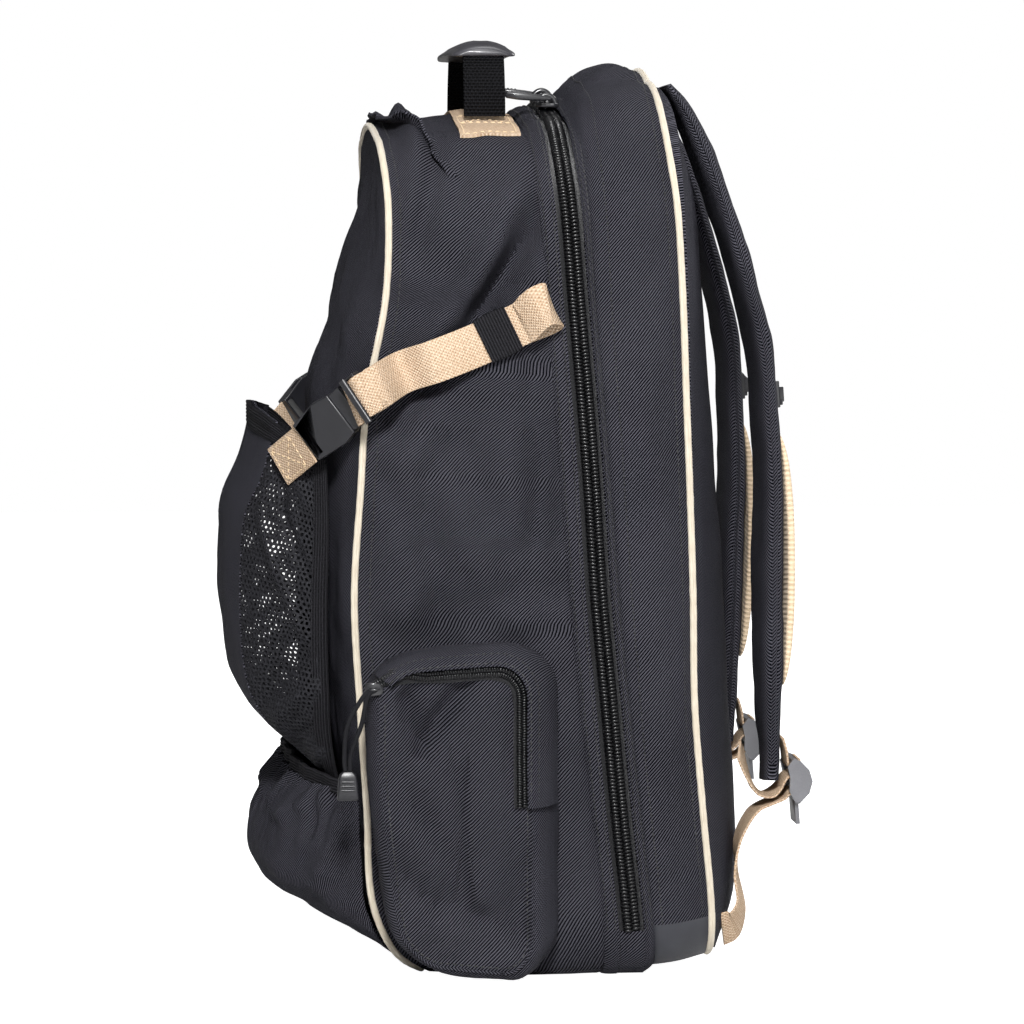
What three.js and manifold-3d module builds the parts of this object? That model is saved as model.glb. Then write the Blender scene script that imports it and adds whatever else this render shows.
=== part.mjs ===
// A ringside backpack for riders: a tall clamshell body of black twill with a coil zip round it, cream
// piping, zipped side pockets, a helmet sling with net sides over a gathered lower pocket, compression
// straps with side-release buckles, a moulded carry handle, a padded back and two padded shoulder straps.
// Millimetres. X runs across the bag (+X is the wearer's right), Y from the front of the bag to the
// wearer's back, Z up. The origin is the middle of the footprint on the ground.

import * as THREE from "three";
import Module from "manifold-3d";
import { mergeVertices } from "three/addons/utils/BufferGeometryUtils.js";

const wasm = await Module();
wasm.setup();

// Body
const bodyHeight = 530; // the height that the shares below are taken of
const bodyDepth = 200; // front piping to rear piping at mid height
const frontPlace = -117; // Y of the front piping where its share of the depth is nought
const frontWidth = 300;
const seamWidth = 328;
const zipWidth = 330;
const rearWidth = 310;
const frontHeight = 506;
const seamHeight = 513;
const zipHeight = 518;
const rearSeamHeight = 523;
const rearHeight = 540;
const topTaper = 0.95; // width at the shoulders over the width at the base
const frontTopRadius = 58;
const rearTopRadius = 92;
const baseRadius = 30;
const rearFoot = 9; // the rear edge of the base stands this far off the ground
const topArch = 9;
const cloth = 2; // wall of the lined twill
const gap = 0.3; // between sewn pieces
const gussetBulge = 7;
const rearTopBulge = 11;
const rearSideBulge = 6;

// Main zip
const coilWidth = 10.5;
const coilHeight = 3.2;
const tapeShow = 2.5; // tape seen on each side of the coil
const tapeThickness = 1;

// Trim
const pipingRadius = 2.1;
const pipingSeat = 2.6; // from the middle of the piping to the cloth beside it
const webbingWidth = 25;
const webbingThickness = 1.5;

// Back
const padThickness = 9;
const padBulge = 34;
const frontBulge = 28;

// Helmet sling and lower pocket
const slingCloth = 1.6;
const netThickness = 1.4;
const elasticWidth = 9;
const elasticThickness = 2.4;
const slingRoot = 104; // height of the seam that holds the sling to the front
const pocketTop = 122; // height of the lower pocket's hem
const pocketReach = 56; // how far the lower pocket stands out
const hemThickness = 3;
const hemHeight = 9;

// Side pockets
const sidePocketDepth = 44;
const sidePocketHeight = 198;
const sidePocketLength = 106;
const sidePocketRadius = 30;
const sidePocketFoot = 7; // ground clearance
const pocketZipWidth = 7;
const pocketZipHeight = 2.4;

// Handle
const handleSpan = 140; // between the legs
const gripTop = 558;
const gripLength = 128;
const gripWidth = 42;
const gripThickness = 12;
const handleSetback = 20; // from the gusset's seam forward to the handle's middle
const patchLength = 36; // along Y

// Shoulder straps
const strapWidth = 68;
const strapTopPlace = 62; // X of a strap's middle at the top
const strapLowPlace = 98; // X of a strap's middle at its lower tip
const strapDrop = 10; // the straps' root lies this far below the body's top
const liningWidth = 56;
const liningThickness = 3.4;

const V = (x, y, z) => new THREE.Vector3(x, y, z);
const lerp = THREE.MathUtils.lerp;
const clamp = THREE.MathUtils.clamp;
const bump = (t) => 4 * t * (1 - t);

const finishes = {
  twill: { color: 0x191a20, roughness: 0.85, metalness: 0 },
  coatedBase: { color: 0x2b2c33, roughness: 0.6, metalness: 0 },
  piping: { color: 0xe6dccb, roughness: 0.7, metalness: 0 },
  tanWebbing: { color: 0xd9b98f, roughness: 0.8, metalness: 0 },
  blackWebbing: { color: 0x101013, roughness: 0.8, metalness: 0 },
  elastic: { color: 0x17171b, roughness: 0.9, metalness: 0 },
  net: { color: 0x0d0d10, roughness: 0.9, metalness: 0 },
  zipCoil: { color: 0x0c0c0e, roughness: 0.35, metalness: 0 },
  plastic: { color: 0x1d1d22, roughness: 0.4, metalness: 0 },
};

const backpack = new THREE.Group();

// Building solids

function geometryOf(points, faces) {
  let volume = 0;
  for (const [i, j, k] of faces) volume += points[i].dot(points[j].clone().cross(points[k]));
  const index = volume < 0 ? faces.flatMap(([i, j, k]) => [i, k, j]) : faces.flat();
  return new THREE.BufferGeometry().setFromPoints(points).setIndex(index);
}

function gridFaces(rows, columns, { closed = false, open = () => false } = {}) {
  const faces = [];
  for (let i = 0; i < rows - 1; i++)
    for (let j = 0; j < (closed ? columns : columns - 1); j++) {
      if (open(i, j)) continue;
      const next = (j + 1) % columns;
      const [a, b] = [i * columns + j, i * columns + next];
      const [c, d] = [b + columns, a + columns];
      faces.push([a, b, c], [a, c, d]);
    }
  return faces;
}

// A wall between an outer surface and an inner one with the same faces, closed along the cut edges.
function wallBetween(outer, inner, faces) {
  const count = outer.length;
  const directed = new Set(faces.flatMap(([i, j, k]) => [i + "," + j, j + "," + k, k + "," + i]));
  const all = faces.concat(faces.map(([i, j, k]) => [i + count, k + count, j + count]));
  for (const edge of directed) {
    const [i, j] = edge.split(",").map(Number);
    if (!directed.has(j + "," + i)) all.push([j, i, i + count], [j, i + count, j + count]);
  }
  return geometryOf(outer.concat(inner), all);
}

// A cloth wall: the outer surface, and the same surface moved in along its normals.
function clothWall(points, faces, thickness) {
  const normals = points.map(() => V(0, 0, 0));
  for (const [i, j, k] of faces) {
    const normal = points[j].clone().sub(points[i]).cross(points[k].clone().sub(points[i]));
    for (const v of [i, j, k]) normals[v].add(normal);
  }
  const inner = points.map((p, i) => p.clone().addScaledVector(normals[i].normalize(), -thickness));
  return wallBetween(points, inner, faces);
}

// A solid through a row of sections with the same number of corners.
function loft(sections, closed = false) {
  const corners = sections[0].length;
  const points = sections.flat();
  const faces = gridFaces(sections.length, corners, { closed: true });
  const last = (sections.length - 1) * corners;
  for (let j = 0; j < corners; j++) {
    const next = (j + 1) % corners;
    if (closed) faces.push([last + j, last + next, next], [last + j, next, j]);
    else if (j > 0 && j < corners - 1) faces.push([0, next, j], [last, last + j, last + next]);
  }
  return geometryOf(points, faces);
}

// A flat strip of webbing along a route. Each stop gives its middle and the direction across the webbing.
function webbing(stops, width, thickness) {
  const sections = stops.map(({ at, across }, i) => {
    const ahead = stops[Math.min(i + 1, stops.length - 1)].at.clone().sub(stops[Math.max(i - 1, 0)].at);
    const side = across.clone().normalize();
    const face = side.clone().cross(ahead).normalize();
    return [[-1, -1], [1, -1], [1, 1], [-1, 1]].map(([w, t]) =>
      at.clone().addScaledVector(side, (w * width) / 2).addScaledVector(face, (t * thickness) / 2),
    );
  });
  return loft(sections);
}

// A round or flattened bar along a route that may close on itself.
function bar(route, radius, sides, { closed = false, squash = 1, outward = null } = {}) {
  const sections = route.map((at, i) => {
    const before = closed ? route[(i + route.length - 1) % route.length] : route[Math.max(i - 1, 0)];
    const after = closed ? route[(i + 1) % route.length] : route[Math.min(i + 1, route.length - 1)];
    const ahead = after.clone().sub(before).normalize();
    const up = outward ? outward(i) : Math.abs(ahead.x) > 0.9 ? V(0, 1, 0) : V(1, 0, 0);
    const side = up.clone().cross(ahead).normalize();
    const lift = ahead.clone().cross(side).normalize();
    return Array.from({ length: sides }, (_, k) => {
      const angle = ((k + 0.5) / sides) * 2 * Math.PI;
      return at.clone().addScaledVector(side, radius * Math.cos(angle))
        .addScaledVector(lift, squash * radius * Math.sin(angle));
    });
  });
  return loft(sections, closed);
}

const mirrored = (geometry) => {
  const other = geometry.clone().applyMatrix4(new THREE.Matrix4().makeScale(-1, 1, 1));
  const index = other.index.array;
  for (let i = 0; i < index.length; i += 3) [index[i + 1], index[i + 2]] = [index[i + 2], index[i + 1]];
  return other;
};

function add(name, geometry, finish) {
  const material = new THREE.MeshStandardMaterial({ ...finishes[finish], side: THREE.DoubleSide });
  const mesh = new THREE.Mesh(geometry, material);
  mesh.name = name;
  backpack.add(mesh);
  return mesh;
}

function addPair(name, geometry, finish) {
  add(name + "_left", mirrored(geometry), finish);
  return add(name + "_right", geometry, finish);
}

function solidOf(geometry) {
  const bare = new THREE.BufferGeometry().setAttribute("position", geometry.getAttribute("position"));
  if (geometry.index) bare.setIndex(geometry.index);
  const merged = mergeVertices(bare, 1e-4);
  const triVerts = new Uint32Array(merged.index.array);
  const vertProperties = merged.attributes.position.array;
  return new wasm.Manifold(new wasm.Mesh({ numProp: 3, vertProperties, triVerts }));
}

function geometryFrom(solid) {
  const mesh = solid.getMesh();
  const geometry = new THREE.BufferGeometry();
  const places = new Float32Array(mesh.vertProperties);
  geometry.setAttribute("position", new THREE.BufferAttribute(places, mesh.numProp));
  return geometry.setIndex(new THREE.BufferAttribute(new Uint32Array(mesh.triVerts), 1));
}

const boxAt = (sx, sy, sz, x = 0, y = 0, z = 0) =>
  solidOf(new THREE.BoxGeometry(sx, sy, sz).translate(x, y, z));

function plateOf(corners, thickness, holes = []) {
  const flat = (line) => line.map(([x, y]) => new THREE.Vector2(x, y));
  const shape = new THREE.Shape(flat(corners));
  for (const hole of holes) shape.holes.push(new THREE.Path(flat(hole)));
  return new THREE.ExtrudeGeometry(shape, { depth: thickness, bevelEnabled: false })
    .translate(0, 0, -thickness / 2);
}

// Turns a piece made flat (length along X, width along Y, thickness along Z) to lie at a place.
function laid(geometry, at, along, across) {
  const x = along.clone().normalize();
  const z = x.clone().cross(across).normalize();
  const y = z.clone().cross(x);
  return geometry.applyMatrix4(new THREE.Matrix4().makeBasis(x, y, z).setPosition(at));
}

// The body's seam lines. Heights are shares of the body height, the columns are shares of the body depth
// back from the front piping. The zip leans back towards the base, as it does when the bag stands loaded.
const sideProfile = [
  { at: 0.0, front: 0.2, frontSeam: 0.715, zip: 0.8, rearSeam: 0.87, rear: 1.035 },
  { at: 0.03, front: 0.1, frontSeam: 0.715, zip: 0.8, rearSeam: 0.87, rear: 1.04 },
  { at: 0.09, front: 0.03, frontSeam: 0.705, zip: 0.785, rearSeam: 0.855, rear: 1.035 },
  { at: 0.19, front: 0.015, frontSeam: 0.675, zip: 0.755, rearSeam: 0.825, rear: 1.01 },
  { at: 0.31, front: -0.005, frontSeam: 0.64, zip: 0.725, rearSeam: 0.79, rear: 0.985 },
  { at: 0.43, front: -0.02, frontSeam: 0.61, zip: 0.695, rearSeam: 0.76, rear: 0.98 },
  { at: 0.55, front: 0.0, frontSeam: 0.585, zip: 0.675, rearSeam: 0.735, rear: 0.97 },
  { at: 0.65, front: 0.02, frontSeam: 0.565, zip: 0.655, rearSeam: 0.715, rear: 0.96 },
  { at: 0.76, front: 0.075, frontSeam: 0.545, zip: 0.63, rearSeam: 0.69, rear: 0.95 },
  { at: 0.86, front: 0.085, frontSeam: 0.525, zip: 0.61, rearSeam: 0.675, rear: 0.935 },
  { at: 0.93, front: 0.07, frontSeam: 0.505, zip: 0.595, rearSeam: 0.66, rear: 0.915 },
  { at: 1.0, front: 0.05, frontSeam: 0.49, zip: 0.585, rearSeam: 0.65, rear: 0.9 },
];

// How far the soft panels stand out of their seams on the middle line: shares of frontBulge and padBulge.
const crownProfile = [
  { at: 0.0, front: 0.0, rear: 0.0 },
  { at: 0.03, front: 0.1, rear: 0.42 },
  { at: 0.08, front: 0.25, rear: 0.8 },
  { at: 0.19, front: 0.45, rear: 1.0 },
  { at: 0.31, front: 0.6, rear: 1.0 },
  { at: 0.55, front: 0.9, rear: 0.85 },
  { at: 0.66, front: 1.0, rear: 0.76 },
  { at: 0.76, front: 0.95, rear: 0.7 },
  { at: 0.86, front: 0.55, rear: 0.62 },
  { at: 0.95, front: 0.1, rear: 0.35 },
  { at: 1.0, front: 0.0, rear: 0.0 },
];

function columnOf(table, name, at) {
  const last = table.length - 1;
  let i = table.findIndex((row) => row.at >= at);
  if (i < 0) i = last;
  i = clamp(i, 1, last);
  const slope = (k) => {
    const [a, b] = [table[Math.max(k - 1, 0)], table[Math.min(k + 1, last)]];
    return (b[name] - a[name]) / (b.at - a.at);
  };
  const [low, high] = [table[i - 1], table[i]];
  const span = high.at - low.at;
  const t = clamp((at - low.at) / span, 0, 1);
  const [h0, h1] = [(1 + 2 * t) * (1 - t) ** 2, t * t * (3 - 2 * t)];
  const [g0, g1] = [t * (1 - t) ** 2, t * t * (t - 1)];
  return h0 * low[name] + h1 * high[name] + span * (g0 * slope(i - 1) + g1 * slope(i));
}

const topRadiusAt = (share) => lerp(frontTopRadius, rearTopRadius, share);
const seamLines = {
  front: { halfWidth: frontWidth / 2, height: frontHeight, topRadius: frontTopRadius, foot: 0 },
  frontSeam: { halfWidth: seamWidth / 2, height: seamHeight, topRadius: topRadiusAt(1 / 2), foot: 0 },
  zip: { halfWidth: zipWidth / 2, height: zipHeight, topRadius: topRadiusAt(2 / 3), foot: 0 },
  rearSeam: {
    halfWidth: seamWidth / 2, height: rearSeamHeight, topRadius: topRadiusAt(2 / 3), foot: rearFoot / 2,
  },
  rear: { halfWidth: rearWidth / 2, height: rearHeight, topRadius: rearTopRadius, foot: rearFoot },
};
const baseSteps = 2;
const cornerSteps = 3;
const sideSteps = 9;
const shoulderSteps = 4;
const topSteps = 3;
const sideStart = baseSteps + cornerSteps;
const halfSteps = sideStart + sideSteps + shoulderSteps + topSteps;
const loopSteps = 2 * halfSteps;

// Half of a seam line seen from the front, from the middle of the base round the right side to the top.
function halfOutline({ halfWidth, height, topRadius, foot }) {
  const shoulder = halfWidth * topTaper;
  const shoulderHeight = height - topArch - topRadius;
  const turn = (steps, make) => Array.from({ length: steps }, (_, i) => make((i + 1) / steps));
  const quarter = Math.PI / 2;
  return [
    [0, 0],
    ...turn(baseSteps, (t) => [(halfWidth - baseRadius) * t, 0]),
    ...turn(cornerSteps, (t) => [
      halfWidth - baseRadius + baseRadius * Math.sin(quarter * t),
      baseRadius - baseRadius * Math.cos(quarter * t),
    ]),
    ...turn(sideSteps, (t) => [lerp(halfWidth, shoulder, t * t), lerp(baseRadius, shoulderHeight, t)]),
    ...turn(shoulderSteps, (t) => [
      shoulder - topRadius + topRadius * Math.cos(quarter * t),
      shoulderHeight + topRadius * Math.sin(quarter * t),
    ]),
    ...turn(topSteps, (t) => [(shoulder - topRadius) * (1 - t), height - topArch * (1 - t) ** 2]),
  ].map(([x, z]) => [x, z + foot * clamp(1 - z / (4 * baseRadius), 0, 1)]);
}

const seamY = (name, z) => frontPlace + bodyDepth * columnOf(sideProfile, name, z / bodyHeight);

// A whole seam line, moved by a distance in the cloth towards the wearer's back.
function loopOf(name, shift = 0) {
  const half = halfOutline(seamLines[name]);
  const whole = half.concat(half.slice(1, -1).reverse().map(([x, z]) => [-x, z]));
  const line = whole.map(([x, z]) => V(x, seamY(name, z), z));
  return line.map((p, i) => {
    const ahead = line[(i + 1) % loopSteps].clone().sub(line[(i + loopSteps - 1) % loopSteps]).normalize();
    return p.clone().setY(p.y + shift / Math.sqrt(1 - ahead.y ** 2));
  });
}

// How much each point of a seam line may stand out: nothing on the base, all of it on the sides.
function slackAt(i) {
  const j = i <= halfSteps ? i : loopSteps - i;
  if (j <= baseSteps) return { side: 0, top: 0 };
  if (j <= sideStart) return { side: (j - baseSteps) / cornerSteps, top: 0 };
  const top = clamp((j - sideStart - sideSteps) / shoulderSteps, 0, 1);
  return { side: 1 - top, top };
}

// Folds of the front gusset's sides. Ends are shares of the gusset from piping to seam and of the body
// height, width and depth are shares of the body depth. A negative depth is a ridge.
const gussetFolds = [
  { fromDepth: 1.0, fromHeight: 0.88, toDepth: 0.1, toHeight: 0.64, width: 0.11, depth: 0.035 },
  { fromDepth: 0.75, fromHeight: 0.9, toDepth: 0.25, toHeight: 0.78, width: 0.1, depth: -0.02 },
  { fromDepth: 0.9, fromHeight: 0.74, toDepth: 0.86, toHeight: 0.44, width: 0.08, depth: 0.016 },
  { fromDepth: 0.15, fromHeight: 0.62, toDepth: 0.2, toHeight: 0.42, width: 0.1, depth: -0.012 },
];

function foldAt(share, height) {
  const reach = bodyDepth * 0.6;
  return gussetFolds.reduce((sum, f) => {
    const from = [f.fromDepth * reach, f.fromHeight * bodyHeight];
    const along = [f.toDepth * reach - from[0], f.toHeight * bodyHeight - from[1]];
    const away = [share * reach - from[0], height - from[1]];
    const t = clamp((away[0] * along[0] + away[1] * along[1]) / (along[0] ** 2 + along[1] ** 2), 0, 1);
    const distance = Math.hypot(away[0] - t * along[0], away[1] - t * along[1]);
    return sum - f.depth * bodyDepth * Math.exp(-((distance / (f.width * bodyDepth)) ** 2));
  }, 0);
}

// A cloth band between two seam lines, standing out by sideBulge and topBulge half way. It runs round the
// whole seam, or from the first point to the last.
function band(from, to, steps, thickness, options = {}) {
  const { sideBulge = 0, topBulge = 0, folds = false, lift = 0 } = options;
  const { first = null, last = null, endGap = 0 } = options;
  const closed = first === null;
  const columns = closed ? loopSteps : last - first + 1;
  const outer = [];
  const inner = [];
  for (let k = 0; k <= steps; k++) {
    const t = k / steps;
    for (let c = 0; c < columns; c++) {
      const j = (c + (first ?? 0)) % loopSteps;
      const p = from[j].clone().lerp(to[j], t);
      const ahead = from[(j + 1) % loopSteps].clone().sub(from[(j + loopSteps - 1) % loopSteps]);
      const out = V(ahead.z, 0, -ahead.x).normalize();
      const slack = slackAt(j);
      let rise = lift + bump(t) * (sideBulge * slack.side + topBulge * slack.top);
      if (folds) rise += foldAt(t, p.z) * slack.side * Math.sin(Math.PI * t) ** 0.5;
      if (!closed && (c === 0 || c === columns - 1)) {
        p.addScaledVector(V(ahead.x, 0, ahead.z).normalize(), c === 0 ? endGap : -endGap);
      }
      outer.push(p.clone().addScaledVector(out, rise));
      inner.push(p.clone().addScaledVector(out, rise - thickness));
    }
  }
  return wallBetween(outer, inner, gridFaces(steps + 1, columns, { closed }));
}

// The piping is lifted on the base so that the bag stands on its cloth.
const pipingLine = (name) => loopOf(name).map(({ x, z }) => {
  const lifted = z + pipingRadius * clamp(1 - z / baseRadius, 0, 1);
  return V(x, seamY(name, lifted), lifted);
});
const frontLine = pipingLine("front");
const rearLine = pipingLine("rear");
const coilHalf = coilWidth / 2;
const flapEdge = coilHalf + tapeShow;

const frontGusset = band(loopOf("front", pipingSeat), loopOf("frontSeam", -gap), 5, cloth, {
  sideBulge: gussetBulge, topBulge: 3, folds: true,
});
add("front_gusset", frontGusset, "twill");
const frontFlap = band(loopOf("frontSeam"), loopOf("zip", -flapEdge), 1, cloth);
const rearFlap = band(loopOf("zip", flapEdge), loopOf("rearSeam", -gap), 1, cloth);
add("zip_flap_front", frontFlap, "twill");
add("zip_flap_rear", rearFlap, "twill");

// The zip runs up one side, over the top and down the other, from just above the base.
const zipRun = { first: sideStart, last: loopSteps - sideStart };
const tapeReach = flapEdge - gap;
const tapeLift = tapeThickness - cloth;
add(
  "main_zip_tape",
  band(loopOf("zip", -tapeReach), loopOf("zip", tapeReach), 1, tapeThickness, {
    ...zipRun, lift: tapeLift,
  }),
  "zipCoil",
);
const coil = band(loopOf("zip", -coilHalf), loopOf("zip", coilHalf), 1, coilHeight, {
  ...zipRun, lift: tapeLift + gap + coilHeight,
});
add("main_zip_coil", coil, "zipCoil");

// Between the zip's two ends the base is one hinge of cloth.
const underBase = { first: loopSteps - sideStart, last: loopSteps + sideStart, endGap: gap };
add(
  "base_hinge",
  band(loopOf("zip", -flapEdge + gap), loopOf("zip", flapEdge - gap), 1, cloth, underBase),
  "twill",
);

const rearShape = { sideBulge: rearSideBulge, topBulge: rearTopBulge };
const rearEdge = loopOf("rear", -pipingSeat);
const overBase = { first: sideStart, last: loopSteps - sideStart };
const rearBand = (run) => band(loopOf("rearSeam"), rearEdge, 3, cloth, { ...rearShape, ...run });
add("rear_gusset", rearBand(overBase), "twill");
add("rear_base_cover", rearBand(underBase), "coatedBase");

const pipingCorner = pipingRadius * Math.SQRT2; // the piping is a four-sided cord here
const pipingCord = (line) => bar(line, pipingCorner, 4, { closed: true, outward: () => V(0, 1, 0) });
add("front_piping", pipingCord(frontLine), "piping");
add("rear_piping", pipingCord(rearLine), "piping");

// The front and back panels, sewn inside the piping. Each is a crown over its seam line.
function panelPoint(name, side, x, z) {
  const { halfWidth, height } = seamLines[name];
  const reach = side < 0 ? frontBulge : padBulge;
  const crown = reach * columnOf(crownProfile, side < 0 ? "front" : "rear", z / height);
  return V(x, seamY(name, z) + side * crown * (1 - Math.abs(x / halfWidth) ** (side < 0 ? 2.2 : 3)), z);
}

function panelWall(name, side, line, thickness, rings) {
  const inset = pipingSeat;
  const middle = seamLines[name].height * 0.48;
  const { halfWidth } = seamLines[name];
  const scaleX = (halfWidth - inset) / halfWidth;
  const scaleZ = (middle - inset) / middle;
  const points = [];
  for (let r = 0; r < rings; r++) {
    const share = 1 - (r / rings) ** 0.85;
    for (const { x, z } of line) {
      points.push(panelPoint(name, side, x * scaleX * share, middle + (z - middle) * scaleZ * share));
    }
  }
  const faces = gridFaces(rings, loopSteps, { closed: true });
  points.push(panelPoint(name, side, 0, middle));
  const start = (rings - 1) * loopSteps;
  const tip = points.length - 1;
  for (let j = 0; j < loopSteps; j++) faces.push([start + j, start + ((j + 1) % loopSteps), tip]);
  return clothWall(points, side < 0 ? faces : faces.map(([a, b, c]) => [a, c, b]), thickness);
}

const frontPanel = panelWall("front", -1, frontLine, cloth, 4);
add("front_panel", frontPanel, "twill");
const backPad = panelWall("rear", 1, rearLine, padThickness, 3);
add("back_pad", backPad, "twill");

// Finds where a line along one axis first meets a surface, coming from its positive or negative side.
function meetingOf(geometry, axis, side = 1) {
  const [u, v] = ["x", "y", "z"].filter((name) => name !== axis);
  const points = geometry.getAttribute("position");
  const index = geometry.index.array;
  const corner = (k) => new THREE.Vector3().fromBufferAttribute(points, index[k]);
  const triangles = Array.from({ length: index.length / 3 }, (_, t) =>
    [0, 1, 2].map((k) => corner(3 * t + k)),
  );
  const slip = 1e-4;
  return (du, dv) => {
    let best = -side * Infinity;
    for (const [a, b, c] of triangles) {
      const area = (b[u] - a[u]) * (c[v] - a[v]) - (b[v] - a[v]) * (c[u] - a[u]);
      if (Math.abs(area) < 1e-9) continue;
      const s = ((du - a[u]) * (c[v] - a[v]) - (dv - a[v]) * (c[u] - a[u])) / area;
      const t = ((b[u] - a[u]) * (dv - a[v]) - (b[v] - a[v]) * (du - a[u])) / area;
      if (s < -slip || t < -slip || s + t > 1 + slip) continue;
      const meeting = a[axis] + s * (b[axis] - a[axis]) + t * (c[axis] - a[axis]);
      best = side > 0 ? Math.max(best, meeting) : Math.min(best, meeting);
    }
    return best;
  };
}
const gussetAcross = meetingOf(frontGusset, "x");
const gussetAbove = meetingOf(frontGusset, "z");
function gussetX(y, z) {
  const seamed = clamp(y, seamY("front", z) + 3 * pipingSeat, seamY("frontSeam", z) - pipingSeat);
  return gussetAcross(seamed, Math.max(z, baseRadius));
}

// Helmet sling. Heights are shares of its height, the rest are shares of the body depth: how far its middle
// stands ahead of the front piping, and how far its corner and its bound edge lie behind that.
const slingProfile = [
  { at: 0.0, front: 0.062, corner: 0.015, edge: 0.012, cornerX: 0.3, edgeX: 0.365 },
  { at: 0.1, front: 0.175, corner: 0.02, edge: 0.1, cornerX: 0.31, edgeX: 0.385 },
  { at: 0.2, front: 0.31, corner: 0.035, edge: 0.22, cornerX: 0.31, edgeX: 0.405 },
  { at: 0.3, front: 0.375, corner: 0.045, edge: 0.28, cornerX: 0.31, edgeX: 0.42 },
  { at: 0.45, front: 0.4, corner: 0.05, edge: 0.3, cornerX: 0.3, edgeX: 0.425 },
  { at: 0.6, front: 0.405, corner: 0.055, edge: 0.305, cornerX: 0.29, edgeX: 0.425 },
  { at: 0.75, front: 0.395, corner: 0.06, edge: 0.3, cornerX: 0.29, edgeX: 0.42 },
  { at: 0.85, front: 0.345, corner: 0.06, edge: 0.25, cornerX: 0.3, edgeX: 0.415 },
  { at: 1.0, front: 0.3, corner: 0.06, edge: 0.2, cornerX: 0.31, edgeX: 0.41 },
];
const slingTop = 336;
const slingDroop = 14; // how much lower the hem is at the bound edges
function slingPoint(across, up) {
  const of = (name) => columnOf(slingProfile, name, up);
  const front = frontPlace - bodyDepth * of("front");
  const [cornerX, edgeX] = [frontWidth * of("cornerX"), frontWidth * of("edgeX")];
  const [cornerY, edgeY] = [front + bodyDepth * of("corner"), front + bodyDepth * of("edge")];
  const side = Math.sign(across);
  const a = Math.abs(across);
  const z = lerp(slingRoot, slingTop - slingDroop * a * a * 0.5, up);
  if (a <= 1) return V(side * a * cornerX, lerp(front, cornerY, a ** 2.4), z);
  const t = a - 1;
  const swell = 5 * bump(t) * Math.sin(Math.PI * clamp(up, 0, 1));
  return V(side * (lerp(cornerX, edgeX, t) + swell), lerp(cornerY, edgeY, t) - swell * 0.5, z);
}
const slingRows = 10;
const slingColumns = 9;
const slingPanel = [];
for (let i = 0; i < slingRows; i++)
  for (let j = 0; j < slingColumns; j++) {
    slingPanel.push(slingPoint(((2 * j) / (slingColumns - 1) - 1) * 0.992, i / (slingRows - 1)));
  }
add("helmet_sling_panel", clothWall(slingPanel, gridFaces(slingRows, slingColumns), slingCloth), "twill");

// The net at each side is one sheet with its coarse gaps cut through.
const netGapsUp = 8;
const netGapsAcross = 4;
const netBar = 0.34; // share of each pitch that is cord
const netStations = (count, from, to) => {
  const stations = [];
  for (let i = 0; i <= count; i++) {
    const at = (s) => from + ((to - from) * s) / (count + netBar);
    stations.push(at(i), at(i + netBar));
  }
  return stations;
};
const upStations = netStations(netGapsUp, 0, 0.985);
const acrossStations = netStations(netGapsAcross, 1.014, 1.975);
const netPoints = upStations.flatMap((up) => acrossStations.map((across) => slingPoint(across, up)));
const netFaces = gridFaces(upStations.length, acrossStations.length, {
  open: (i, j) => i % 2 === 1 && j % 2 === 1,
});
addPair("sling_net", clothWall(netPoints, netFaces, netThickness), "net");

const edgeStops = Array.from({ length: 9 }, (_, i) => {
  const up = (i / 8) * 0.985;
  const inward = slingPoint(1.9, up).sub(slingPoint(2, up)).normalize();
  return { at: slingPoint(2, up).addScaledVector(inward, -elasticWidth / 2 - gap), across: inward };
});
addPair("sling_edge_elastic", webbing(edgeStops, elasticWidth, elasticThickness), "elastic");

// Lower front pocket: a gathered cloth pouch sewn round the foot of the front panel, with an elastic hem.
// The columns are shares of pocketReach and of half the front's width.
const pouchProfile = [
  { at: 0.0, reach: 0.02, width: 0.88 },
  { at: 0.17, reach: 0.54, width: 0.925 },
  { at: 0.3, reach: 0.84, width: 0.94 },
  { at: 0.55, reach: 0.92, width: 0.95 },
  { at: 0.8, reach: 0.77, width: 0.95 },
  { at: 1.0, reach: 0.52, width: 0.94 },
];
const pouchFoot = 13;
const pouchGathers = 7;
const gatherDepth = 2.6;
const panelFace = meetingOf(frontPanel, "y", -1);
function pouchPoint(across, up) {
  const z = lerp(pouchFoot, pocketTop - hemHeight, up);
  const x = (frontWidth / 2) * columnOf(pouchProfile, "width", up) * across;
  const fullness = Math.max(0, 1 - Math.abs(across) ** 3.4) ** 0.75;
  const reach = pocketReach * columnOf(pouchProfile, "reach", up) * fullness;
  const wave = Math.cos(pouchGathers * Math.PI * across + up * 1.5);
  const gather = gatherDepth * wave * (1 - across * across) * up;
  return V(x, panelFace(x, z) - cloth - 5 * gap - reach + gather, z);
}
const pouchRows = 7;
const pouchColumns = 19;
const pouch = [];
for (let i = 0; i < pouchRows; i++)
  for (let j = 0; j < pouchColumns; j++) {
    pouch.push(pouchPoint((2 * j) / (pouchColumns - 1) - 1, i / (pouchRows - 1)));
  }
add("lower_pocket", clothWall(pouch, gridFaces(pouchRows, pouchColumns), cloth), "twill");
const hemStops = Array.from({ length: pouchColumns }, (_, j) => {
  const at = pouchPoint(((2 * j) / (pouchColumns - 1) - 1) * 0.985, 1);
  const ahead = pouchPoint(((2 * j + 1) / (pouchColumns - 1) - 1) * 0.985, 1).sub(at);
  const inward = V(ahead.y, -ahead.x, 0).normalize();
  at.addScaledVector(inward, -cloth / 2).setZ(at.z + hemHeight / 2 + 1.5 * gap);
  return { at, across: V(0, 0, 1) };
});
add("lower_pocket_hem", webbing(hemStops, hemHeight, hemThickness), "elastic");

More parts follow.
